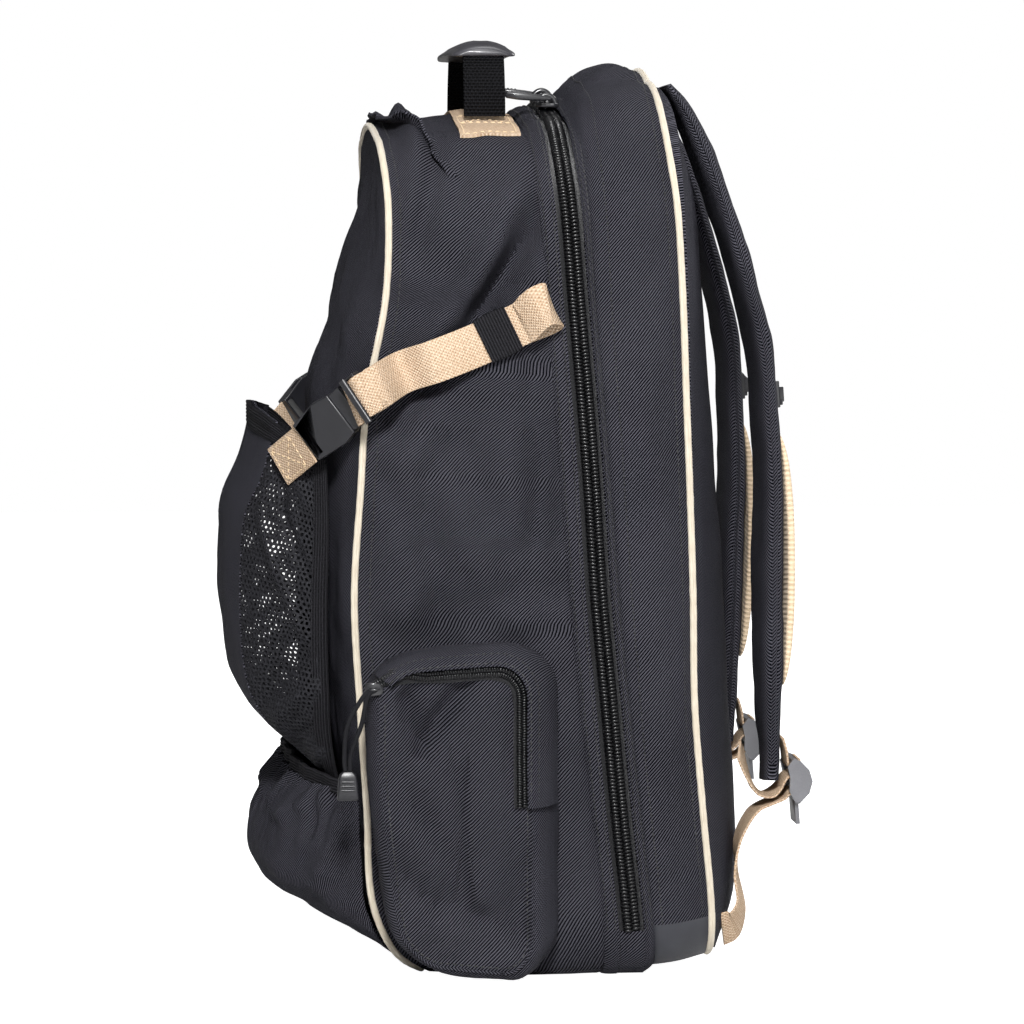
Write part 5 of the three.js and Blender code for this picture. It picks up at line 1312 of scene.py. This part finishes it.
pouch_up, pouch_across = np.meshgrid(np.linspace(0, 1, 56), np.linspace(-1, 1, 220), indexing="ij")
pouch_points = pouch_point(pouch_across, pouch_up)
fine_gathers = 1.9 * np.sin(pouch_across * 66 + 5 * crumple(pouch_points, 40, 81.0)) * pouch_up ** 3
pouch_folds = fine_gathers + 2.6 * crumple(pouch_points * [1, 1, 0.6], 26, 83.0) + 0.9 * crumple(pouch_points, 11, 87.0)
pouch_folds -= folds_on(pouch_points[..., 1], pouch_points[..., 2], POUCH_FOLDS)
pouch_calm = np.clip(pouch_up / 0.08, 0, 1) * np.clip((1 - np.abs(pouch_across)) / 0.08, 0, 1)
pouch_points[..., 1] -= pouch_folds * pouch_calm
pouch_points[..., 0] += np.sign(pouch_across) * 0.6 * pouch_folds * pouch_calm * np.abs(pouch_across) ** 3
pouch = piece("lower_pocket_cloth", [wall(pouch_points, CLOTH)], black_twill, ["lower_pocket"])
hem_line = pouch_point(np.linspace(-0.985, 0.985, 110), np.full(110, 1.0))
hem_ahead = np.gradient(hem_line, axis=0)
hem_inward = np.stack([hem_ahead[:, 1], -hem_ahead[:, 0], 0 * hem_ahead[:, 0]], axis=1)
hem_inward /= np.linalg.norm(hem_inward, axis=1, keepdims=True)
hem_line = hem_line + hem_inward
hem_line[:, 2] += HEM_HEIGHT / 2 + 0.2 - 5 * np.linspace(-1, 1, 110) ** 4
hem_line[:, 1] -= 0.4 * np.sin(np.linspace(-57, 57, 110))
piece("lower_pocket_band", [strap(hem_line, (0, 0, 1), HEM_HEIGHT, 2.8, 220, ribs=4)], elastic,
      ["lower_pocket_hem"])


# ---------------------------------------------------------------- Side pockets
# A deep zipped pocket on each side of the front half. Its box of twill is sewn flat to the side panel, with a face
# that has gone slack and a rounded seam all round it.
POCKET_DEPTH, POCKET_HEIGHT, POCKET_LENGTH, POCKET_RADIUS = 44, 198, 106, 30
POCKET_Y, POCKET_Z = -64, 106
HOOD_RUN = slice(19, 58)  # the part of the outline under the hood: half of the rear edge, the top, both corners


def pocket_outline(inset):
    """The pocket seen from the side, from its lower rear corner up the rear edge and round the top."""
    half_y, half_z = POCKET_LENGTH / 2 - inset, POCKET_HEIGHT / 2 - inset
    radius = max(POCKET_RADIUS - inset, 4)
    corners = []
    for along_y, along_z, start in ((1, -1, -90), (1, 1, 0), (-1, 1, 90), (-1, -1, 180)):
        angle = np.radians(start + 90 * np.linspace(0, 1, 13))
        corners.append(np.stack([along_y * (half_y - radius) + radius * np.cos(angle),
                                 along_z * (half_z - radius) + radius * np.sin(angle)], axis=1))
    line = []
    for corner, following in zip(corners, corners[1:] + corners[:1]):
        line += [corner, corner[-1] + (following[0] - corner[-1]) * np.linspace(0, 1, 14)[1:-1, None]]
    line = np.concatenate(line)
    low = np.clip(-line[:, 1] / (POCKET_HEIGHT / 2), 0, 1)
    ahead = np.clip(0.5 - line[:, 0] / POCKET_LENGTH, 0, 1)
    line[:, 0] += (17 * low ** 2.4 + 6 * np.clip((30 - line[:, 1]) / 60, 0, 1)) * ahead  # the front edge leans in
    line[:, 1] += 9 * low ** 3 * ahead ** 2 - 9 * np.clip(line[:, 1] / (POCKET_HEIGHT / 2), 0, 1) ** 3 * ahead ** 2
    return line


def on_side(y, z):
    """How far out the side panel stands, for a place seen from the side."""
    place = np.stack([0 * y + 260, y, np.maximum(z, BASE_RADIUS)], axis=-1)
    return seated(gusset_surface, place, (-1, 0, 0))[0][:, 0]


def pocket_ring(out, inset, lift=0.0):
    """A ring of the pocket: out is 0 on the side panel and 1 at the middle of the face."""
    y, z = pocket_outline(inset).T
    share = min(out, 1)
    y = y + (14 * (1 - share) - 4 * share) * np.clip(y / POCKET_LENGTH * 2, 0, 1)  # broader where it is sewn on
    seat = on_side(y + POCKET_Y, z + POCKET_Z) + 1.2
    return np.stack([seat + (POCKET_FACE - seat) * out + lift, y + POCKET_Y, z + POCKET_Z], axis=1)


pocket_profile = smooth_line([(0, 12.6, 0), (0.1, 6.0, 0), (0.35, 0.6, 0), (0.72, 0.8, 0), (0.88, 2.4, 0),
                              (0.965, 4.8, 0), (1.0, 8, 0), (1.03, 24, 0), (1.06, 47, 0)], 62)[:, :2]
pocket_rows = [pocket_ring(out, inset) for out, inset in pocket_profile]
pocket_points = np.array(pocket_rows)
outward = pocket_outline(0) / np.linalg.norm(pocket_outline(0), axis=1, keepdims=True)
face_share = np.clip((pocket_profile[:, 0] - 0.9) / 0.1, 0, 1)[:, None]
wall_share = np.clip(pocket_profile[:, 0] / 0.3, 0, 1)[:, None] * (1 - face_share)
face_dents = 3.4 * crumple(pocket_points, 36, 91.0) + 1.2 * crumple(pocket_points, 14, 93.0)
y_place, z_place = pocket_points[..., 1], pocket_points[..., 2]
face_dents += folds_on(y_place, z_place, [
    ((-98, 176), (-85, 150), 7, 7.5), ((-60, 184), (-85, 150), 6, 7.5), ((-104, 150), (-62, 60), 9, 4.2),
    ((-30, 170), (-24, 60), 8, 3.4), ((-104, 66), (-30, 40), 10, 5.0), ((-96, 96), (-52, 58), 8, -4.0),
    ((-90, 130), (-70, 90), 7, -3.2), ((-34, 60), (-20, 24), 7, 3.6), ((-100, 77), (-80, 56), 5, 3.0),
])
calm_from = np.full(pocket_points.shape[1], 4.0)
calm_from[HOOD_RUN.start - 2:66] = 15  # the face is flat under the hood and the zip
edge_calm = np.clip((pocket_profile[:, 1:] - calm_from) / 8, 0, 1)
pocket_points[..., 0] += 1.4 * face_dents * face_share * edge_calm
side_dents = 1.5 * crumple(pocket_points, 24, 95.0) + 0.5 * crumple(pocket_points, 9, 97.0)
pocket_points[..., 1] += outward[:, 0] * side_dents * wall_share
pocket_points[..., 2] += outward[:, 1] * side_dents * wall_share
pocket_points[..., 2] = np.maximum(pocket_points[..., 2], 2.0)
profile_steps = np.diff(pocket_profile * [POCKET_DEPTH, 1], axis=0)
profile_run = np.concatenate([[0], np.cumsum(np.linalg.norm(profile_steps, axis=1))])
edge_row = int(np.argmax(pocket_profile[:, 0] >= 1))
run_out = np.maximum(0, profile_run[edge_row] - profile_run)[:, None]
edge_y, edge_z = (np.concatenate([np.repeat(place[edge_row:edge_row + 1], edge_row, axis=0), place[edge_row:]])
                  for place in (y_place, z_place))
pocket_lay = np.stack([edge_y + outward[:, 0] * run_out, edge_z + outward[:, 1] * run_out, 0 * y_place], axis=2)
POCKET_INSIDE = np.array([POCKET_FACE - 20, POCKET_Y, POCKET_Z])
pockets = pair("side_pocket_cloth", [wall(pocket_points, CLOTH, closed=True, inside=POCKET_INSIDE, lay=pocket_lay,
                                          centre=True)], black_twill, ["side_pocket"])
pocket_surface = surface_of(pockets["right"])


def pocket_stitches(out, inset, towards, run=slice(None), lift=0.0, surface=None):
    line = pocket_ring(out, inset, lift)[run]
    closed = run == slice(None)
    return stitches(*seated(surface or pocket_surface, line + [20, 0, 0], towards, reach=60), closed=closed)


seam_ring, seam_slopes = seated(pocket_surface, pocket_ring(1.0, 7.2, 30), (-1, 0, 0), reach=60)
seam_parts = [tube(seam_ring + seam_slopes * 0.25, 0.95, 8, closed=True)]
pair("side_pocket_seam", seam_parts, black_twill, ["side_pocket"])
# ---------------------------------------------------------------- Pocket zips
# A finer coil zip round the top and down the rear of each pocket, under a hood of folded twill that keeps the rain
# off it.
zip_middle = pocket_ring(1.0, 13.8, 2.2)[HOOD_RUN.start:50]
zip_run_on = [(POCKET_FACE + 2.2, -95, 190.2), (POCKET_FACE + 1.8, -102, 188.4), (POCKET_FACE + 1.0, -108, 185.4),
              (POCKET_FACE - 1.0, -113, 181.6)]
zip_middle = resampled(np.concatenate([zip_middle, zip_run_on]), 44)
zip_tape_across = np.stack([0 * zip_middle[:, 0], zip_middle[:, 1] - POCKET_Y, zip_middle[:, 2] - POCKET_Z], axis=1)
pair("pocket_zip_tape", [strap(zip_middle[::4] - [0.3, 0, 0], zip_tape_across[::4], 9.6, 0.8, 60)], tape_finish,
     ["pocket_zip"])
zip_line = smooth_line(zip_middle, 160)
pair("pocket_zip_turns", [coil_turns(zip_line, np.broadcast_to([1.0, 0, 0], zip_line.shape), 6.4, 2.2, 1.5)], coil_finish,
     ["pocket_zip"], sharp=80)

hood_profile = smooth_line([(0.5, -1.0, 0), (0.74, -1.3, 0), (0.9, 0.4, 0), (1.02, 4.2, 0), (1.09, 10.2, 0)], 22)
hood_points = np.array([pocket_ring(out, inset, 2.1)[HOOD_RUN] for out, inset, _ in hood_profile])
hood_points[..., 0] += 0.5 * crumple(hood_points, 20, 101.0) + 0.25 * crumple(hood_points, 8, 103.0)
hood_run = (1.05 - hood_profile[:, :1]) * POCKET_DEPTH
hood_lay = np.stack([hood_points[..., 1] + outward[HOOD_RUN, 0] * hood_run,
                     hood_points[..., 2] + outward[HOOD_RUN, 1] * hood_run, 0 * hood_points[..., 0]], axis=2)
hoods = pair("pocket_hood_cloth", [wall(hood_points, 1.1, inside=POCKET_INSIDE, lay=hood_lay)], black_twill,
             ["pocket_hood"])
hood_surface = surface_of(hoods["right"])
seam_rows = []
for inset in (3.2, 8.4):
    line = pocket_ring(1.05, inset, 20)[HOOD_RUN]
    seam_rows.append(stitches(*seated(hood_surface, line, (-1, 0, 0), reach=40)))
for run in (slice(0, 20), slice(62, None)):
    seam_rows.append(stitches(*seated(pocket_surface, pocket_ring(1.0, 10.4, 20)[run], (-1, 0, 0), reach=40)))
pair("side_pocket_stitches", seam_rows, black_thread, ["side_pocket"])

slider_shape = [(-5.2, 2.0, 0.5), (-4.6, 3.2, 1.2), (-1, 3.9, 1.6), (3.6, 3.4, 1.6), (5.0, 2.4, 0.8)]
slider_sections = [[PULL_TOP + [up - 1.2, along, across] for across, up in rounded_section(half, thick, 0.7, 3)]
                   for along, half, thick in slider_shape]
slider_bail = tube(smooth_line([PULL_TOP + [0.2, -3.2, 0], PULL_TOP + [1.9, -1.5, 0], PULL_TOP + [1.9, 1.6, 0],
                                PULL_TOP + [0.2, 3.0, 0]], 14), 0.7, 8, up=(0, 0, 1))
pair("pocket_slider", [lofted(slider_sections), slider_bail], slider_metal, ["pocket_zip_pull"])

# ---------------------------------------------------------------- Compression straps
# Tan webbing from the seam behind the side panel forward to the sling, doubled and with a slack loop at its root. A
# sleeve of ribbed elastic holds the spare end down.
strap_table = [  # share of the side panel's depth, share of the body's height, stand of both layers off the panel
    (0.93, 0.735, 1.2, 2.75), (0.97, 0.75, 1.4, 10.75), (0.93, 0.761, 1.8, 18.75), (0.87, 0.753, 3.0, 13.75),
    (0.8, 0.732, 4.65, 6.15), (0.58, 0.712, 3.25, 4.75), (0.33, 0.693, 3.05, 4.55), (0.17, 0.681, 6.25, 7.75),
    (0.05, 0.668, 13.25, 14.75),
]
STRAP_ACROSS = np.array([0, -0.36, 0.93]) / math.hypot(0.36, 0.93)


def strap_place(depth, height, stand):
    z = height * BODY_HEIGHT
    y = float(seam_y("front", z) + (seam_y("frontSeam", z) - seam_y("front", z)) * depth)
    under = [on_side(np.array([y + u * STRAP_ACROSS[1]]), np.array([z + u * STRAP_ACROSS[2]]))[0]
             for u in (-12.5, 0, 12.5)]
    return np.array([max(under) + stand, y, z])


inner_layer = np.array([strap_place(depth, height, low) for depth, height, low, _ in strap_table])
outer_layer = np.array([strap_place(depth, height, high) for depth, height, _, high in strap_table])
strap_end = (inner_layer[-1] + outer_layer[-1]) / 2
buckle_top = strap_end + [1.4, -4, -1.5]
buckle_foot = sling_point(1.8, 0.985) + [15.4, -7.4, 6]
buckle_along = (buckle_foot - buckle_top) / np.linalg.norm(buckle_foot - buckle_top)
buckle_across = STRAP_ACROSS - buckle_along * (STRAP_ACROSS @ buckle_along)
buckle_across /= np.linalg.norm(buckle_across)
buckle_out = np.cross(buckle_along, buckle_across)
buckle_out *= np.sign(buckle_out[0])


def in_buckle(along, out):
    return buckle_top + buckle_along * along + buckle_out * out


strap_back = np.array([0, STRAP_ACROSS[2], -STRAP_ACROSS[1]])


def in_loop(back, out, up=0.0):
    return inner_layer[4] + strap_back * back + [out, 0, 0] + STRAP_ACROSS * up


strap_run = [in_buckle(20.5, -1.5), in_buckle(20.2, 2.2), in_buckle(17, 3.8), in_buckle(11.5, 4.9), in_buckle(5, 4.9)]
strap_run += list(outer_layer[:3:-1])
loop_start = len(strap_run)
strap_run += [in_loop(*stop) for stop in ((5, 4.5, 1), (10, 9.5, 4), (15.5, 13, 6), (20.5, 11.5, 6), (22.5, 6.5, 3.6),
                                          (21.5, 2, 1), (16, -0.4, 0), (8, -1, 0))]
strap_run += list(inner_layer[4:-1]) + [in_buckle(-1, -1.5), in_buckle(4, -5.0), in_buckle(7.4, -3), in_buckle(8, 2)]
strap_turns = np.tile(STRAP_ACROSS, (len(strap_run), 1))
pair("side_strap_webbing", [strap(strap_run, strap_turns, count=330)], tan_webbing, ["side_strap"])


def box_stitches(surface, start, end, across, towards, half=10.2, cross=True):
    start, end, across = (np.asarray(v, float) for v in (start, end, across))
    corners = [start - across * half, start + across * half, end + across * half, end - across * half]
    runs = [(0, 1), (1, 2), (2, 3), (3, 0)] + ([(0, 2), (1, 3)] if cross else [])
    return [stitches(*seated(surface, np.linspace(corners[a], corners[b], 12), towards, reach=40)) for a, b in runs]


keeper_at = (inner_layer[4] + outer_layer[4] + inner_layer[5] + outer_layer[5]) / 4
keeper_along = (inner_layer[5] + outer_layer[5] - inner_layer[4] - outer_layer[4])
keeper_along /= np.linalg.norm(keeper_along)
keeper_across = STRAP_ACROSS - keeper_along * (STRAP_ACROSS @ keeper_along)
keeper_across /= np.linalg.norm(keeper_across)
keeper_out = np.cross(keeper_along, keeper_across)
keeper_ring = rounded_section(WEBBING_WIDTH / 2 + 1.4, 3.3, 1.8, 6)
keeper_shares = np.linspace(-1, 1, 14)
keeper_points = np.array([[keeper_at + keeper_along * 10 * share + (keeper_across * u + keeper_out * v)
                           * (1 + 0.02 * math.cos(3 * share)) for u, v in keeper_ring] for share in keeper_shares])
keeper_around = np.concatenate([[0], np.cumsum(np.linalg.norm(np.diff(keeper_ring, axis=0), axis=1))])
keeper_lay = np.stack(np.broadcast_arrays(keeper_around[None, :], keeper_shares[:, None] * 10, 0.0), axis=2)
pair("strap_keeper_elastic", [wall(keeper_points, 1, closed=True, inside=keeper_at, lay=keeper_lay)], elastic,
     ["strap_keeper"])

# ---------------------------------------------------------------- Side release buckles
# Moulded plug and socket that draw the sling against the bag. The socket's end holds a short tan strap, sewn over
# the sling's corner.
for side in ("right", "left"):
    eased("buckle_plug_moulding_" + side, "buckle_plug_" + side, plastic, 0.7)
    eased("buckle_socket_moulding_" + side, "buckle_socket_" + side, plastic, 0.9)
plug_bar = [in_buckle(12, 7.0) + buckle_across * u for u in np.linspace(-14.6, 14.6, 12)]
pair("buckle_plug_bar", [tube(plug_bar, 1.9, 12, up=buckle_along, squash=1.3)], plastic, ["buckle_plug"])
patch_end = sling_point(1.28, 0.9) + [6.1, -2.3, 0]
sling_patch_stops = [buckle_foot + (patch_end - buckle_foot) * t for t in (-0.12, 0.25, 0.6, 1.0)]
sling_patches = pair("sling_patch_webbing", [strap(sling_patch_stops, STRAP_ACROSS, count=30)], tan_webbing,
                     ["sling_patch"])
patch_towards = -buckle_out
pair("sling_patch_stitches",
     box_stitches(surface_of(sling_patches["right"]), buckle_foot + (patch_end - buckle_foot) * 0.2 + buckle_out * 20,
                  buckle_foot + (patch_end - buckle_foot) * 0.92 + buckle_out * 20, buckle_across, patch_towards),
     tan_thread, ["sling_patch"])

# ---------------------------------------------------------------- Shoulder straps
# Curved straps of foam in twill, bound at their edges, from the top of the back panel down past its middle. Worn,
# they fold over the shoulders; here they hang clear of the back in a long bow.
shoulder_table = {
    "at": [0.207, 0.24, 0.3, 0.38, 0.46, 0.54, 0.62, 0.7, 0.78, 0.85, 0.92, 0.975, 0.999],
    "middle": [1.25, 1.252, 1.25, 1.25, 1.252, 1.256, 1.246, 1.23, 1.18, 1.125, 1.06, 0.99, 0.944],
    "thick": [0.045, 0.05, 0.065, 0.07, 0.07, 0.062, 0.058, 0.06, 0.06, 0.06, 0.06, 0.045, 0.03],
    "width": [0.42, 0.5, 0.74, 0.92, 0.98, 1.0, 1.0, 1.0, 1.0, 0.95, 0.9, 0.85, 0.8],
}
STRAP_WIDTH, STRAP_TOP_PLACE, STRAP_LOW_PLACE, STRAP_ROOT = 68, 62, 98, 530


def shoulder_middle(at):
    at = np.asarray(at, float)
    sway = (STRAP_LOW_PLACE - STRAP_TOP_PLACE) * np.clip((1 - at) / 0.8, 0, 1) ** 1.3
    return np.stack([STRAP_TOP_PLACE + sway, FRONT_PLACE + BODY_DEPTH * column(shoulder_table, "middle", at),
                     at * STRAP_ROOT], axis=-1)


def shoulder_frame(at):
    """The directions down a strap, across it and out from its face."""
    ahead = shoulder_middle(np.asarray(at) - 0.01) - shoulder_middle(np.asarray(at) + 0.01)
    ahead /= np.linalg.norm(ahead, axis=-1, keepdims=True)
    across = np.array([1.0, 0, 0]) - ahead * ahead[..., :1]
    across /= np.linalg.norm(across, axis=-1, keepdims=True)
    return ahead, across, np.cross(across, ahead)


def off_strap(at, stand):
    half_thick = column(shoulder_table, "thick", at) * BODY_DEPTH / 2
    return shoulder_middle(at) + shoulder_frame(at)[2] * (half_thick + stand)[..., None]


strap_at = np.linspace(0.999, 0.207, 130)
strap_angle = np.linspace(0, 2 * math.pi, 56, endpoint=False)
edge_u = np.sign(np.cos(strap_angle)) * np.abs(np.cos(strap_angle)) ** 0.45
edge_v = np.sign(np.sin(strap_angle)) * np.abs(np.sin(strap_angle)) ** 0.75
_, strap_across, strap_out = shoulder_frame(strap_at)
half_width = column(shoulder_table, "width", strap_at) * STRAP_WIDTH / 2
half_thick = column(shoulder_table, "thick", strap_at) * BODY_DEPTH / 2
strap_sections = (shoulder_middle(strap_at)[:, None]
                  + strap_across[:, None] * (edge_u[None, :] * half_width[:, None])[..., None]
                  + strap_out[:, None] * (edge_v[None, :] * half_thick[:, None])[..., None])
strap_dents = 0.9 * crumple(strap_sections, 26, 111.0) + 0.4 * crumple(strap_sections, 10, 113.0)
strap_sections = strap_sections + strap_out[:, None] * (strap_dents * np.sign(edge_v)[None, :])[..., None]
strap_body = lofted(strap_sections)
strap_body[2][:, 1] = np.tile(edge_u * STRAP_WIDTH / 2, len(strap_at))
for made in pair("shoulder_strap_padding", [strap_body], black_twill, ["shoulder_strap"]).values():
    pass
binding = [tube(smooth_line((shoulder_middle(strap_at) + strap_across * (half_width * side + 0.3 * side)[:, None])[2:-2:4],
                            120), 1.5, 8, up=(0, 1, 0)) for side in (-1, 1)]
pair("shoulder_strap_binding", binding, black_twill, ["shoulder_strap"])

# ---------------------------------------------------------------- Strap linings
# Open tan spacer mesh with raised cords across it, sewn over the broad part of each strap.


def spacer_mesh():
    made = finish_of("tan_spacer_mesh", (0.6, 0.47, 0.33), 0.85, sheen=0.1, specular=0.25)
    along, across, wear, lay = along_cloth(made)
    cords = waves(made, along, 3.0)
    cells = maths(made, "MULTIPLY", waves(made, along, 1.5), waves(made, across, 1.8))
    height = maths(made, "MULTIPLY_ADD", cells, 0.4, cords)
    share = maths(made, "MULTIPLY_ADD", height, 0.25, speckle(made, lay, 0.7, 3))
    coloured(made, share, [(0.15, (0.46, 0.35, 0.23)), (0.75, (0.7, 0.55, 0.39))])
    raised(made, height, 0.3, 0.7)
    return made


lining_at = np.array([0.6, 0.585, 0.555, 0.505, 0.455, 0.405, 0.365, 0.335, 0.315])
lining_stand = 0.3 + np.array([0, 0.8, 1.9, 3.1, 3.6, 3.3, 2.2, 0.9, 0])


def lining_end(share, reach):
    """How far a lining's rounded end has opened at each share of its length."""
    return np.sqrt(1 - (1 - np.clip(np.minimum(share, 1 - share) / reach, 0.02, 1)) ** 2)


lining = strap(off_strap(lining_at, lining_stand), shoulder_frame(lining_at)[1], 56, 4.6, 300,
               swell=lambda share: (1.0 + 0.012 * np.sin(share * 2 * math.pi * 70)) * lining_end(share, 0.3),
               taper=lambda share: 0.5 + 0.5 * lining_end(share, 0.13))
pair("strap_lining_mesh", [lining], spacer_mesh(), ["strap_lining"])
for side in ("right", "left"):
    eased("chest_slider_moulding_" + side, "chest_slider_" + side, plastic, 0.5)

# ---------------------------------------------------------------- Ladder locks
# Grey moulded ladder locks at the straps' lower ends, each held by a doubled loop of tan webbing that is sewn under
# the padding.
lock_grey = moulded_plastic("ladder_lock_grey", (0.09, 0.09, 0.098), 0.3, coat=0.3)
for side in ("right", "left"):
    eased("ladder_lock_moulding_" + side, "ladder_lock_" + side, lock_grey, 0.6)
lock_top = off_strap(np.array(0.235), np.array(7.8))
lock_top[0] = shoulder_middle(0.235)[0]
LOCK_LEAN = 0.08


def in_lock(down, out):
    return lock_top + [0, out + LOCK_LEAN * down, LOCK_LEAN * out - down]


loop_stops = [in_lock(down, out) for down, out in ((-12, -5), (-4, -3.4), (4.5, -2.8), (7.2, -0.6), (6, 3.2), (1.5, 4))]
pair("strap_loop_webbing", [strap(loop_stops, (1, 0, 0), count=70)], tan_webbing, ["strap_loop"])

# ---------------------------------------------------------------- Lower webbing
# Tan webbing from each lower corner of the back panel up through the ladder lock, with its free tail hanging forward
# of the lock. It twists a quarter turn on its way up.
back_surface = surface_of(back_pad)
root_y = seated(back_surface, [(130, 240, 24)], (0, -1, 0))[0][0][1] + 1.2
rear_place = FRONT_PLACE + BODY_DEPTH
round_lock = [(25, -8), (21.5, -2), (21, 3), (18.5, 6.6), (14.5, 7), (11.3, 4), (10.6, 0), (12.6, -4.4), (18.5, -9)]
webbing_route = [
    ((130, root_y, 24), (0.45, 0, 0.9)), ((128, rear_place + 25, 27), (0.6, -0.2, 0.77)),
    ((124, rear_place + 29.5, 38), (0.85, -0.3, 0.4)), ((119, rear_place + 27.5, 56), (0.95, -0.2, 0.1)),
    (lock_top + [15, -33, -48], (1, 0, 0)), (lock_top + [7, -23, -33], (1, 0, 0)),
    *((in_lock(down, out), (1, 0, 0)) for down, out in round_lock),
    (lock_top + [3, -15, -23], (1, 0, 0)), (lock_top + [6, -22, -19.5], (1, -0.1, 0.1)),
    (lock_top + [10, -27.5, -9], (0.9, -0.25, 0.2)), (lock_top + [14, -33, 5], (0.8, -0.3, 0.2)),
]
route_places, route_across = (np.array(part, float) for part in zip(*webbing_route))
pair("lower_webbing_strap", [strap(route_places, route_across, count=220)], tan_webbing, ["lower_webbing"])

# ---------------------------------------------------------------- Seam stitches
# Black thread along the folded edges of the zip flaps, beside both pipings and down the two channels of the back
# panel.


def stitched(surface, line, closed=False, stand=0.0, inward=None):
    """Stitches where a line near a surface comes closest to it."""
    places, slopes = [], []
    for point in line:
        spot, slope, _, _ = surface.find_nearest(Vector(metres(point)))
        places.append(np.array(spot) * 1000 - BAG_SHIFT)
        slopes.append(np.array(slope) * (1 if np.array(slope) @ (point - BAG_MIDDLE) > 0 else -1))
    return stitches(places, slopes, closed=closed)


def strip_row(points, row, lift=2.0):
    """A row of a strip's own points, held off it on the outside."""
    ahead = np.gradient(points[row], axis=0)
    out = np.stack([ahead[:, 2], 0 * ahead[:, 0], -ahead[:, 0]], axis=1)
    return points[row] + out / (np.linalg.norm(out, axis=1, keepdims=True) + 1e-9) * lift


round_top = slice(SIDE_START, LOOP_STEPS - SIDE_START + 1)
for name, points, surface, rows in (
    ("zip_flap_front_stitches", flap_front_points, surface_of(flap_front), (2, 13)),
    ("zip_flap_rear_stitches", flap_rear_points, surface_of(flap_rear), (2, 13)),
    ("front_gusset_stitches", gusset_points, gusset_surface, (2,)),
):
    node = {"zip_flap_front_stitches": "zip_flap_front", "zip_flap_rear_stitches": "zip_flap_rear",
            "front_gusset_stitches": "front_gusset"}[name]
    piece(name, [stitched(surface, strip_row(points, row)[round_top]) for row in rows], black_thread, [node])
rear_surface, cover_surface = surface_of(rear_shell), surface_of(rear_cover)
piece("rear_shell_stitches", [stitched(rear_surface, strip_row(rear_points, row)) for row in (6, 23)], black_thread,
      ["rear_gusset"])
channel_rows = []
for x in (-52, 52):
    line = [(x, 240, z) for z in np.linspace(60, 460, 90)]
    channel_rows.append(stitches(*seated(back_surface, line, (0, -1, 0), reach=200)))
piece("back_channel_stitches", channel_rows, black_thread, ["back_pad"])
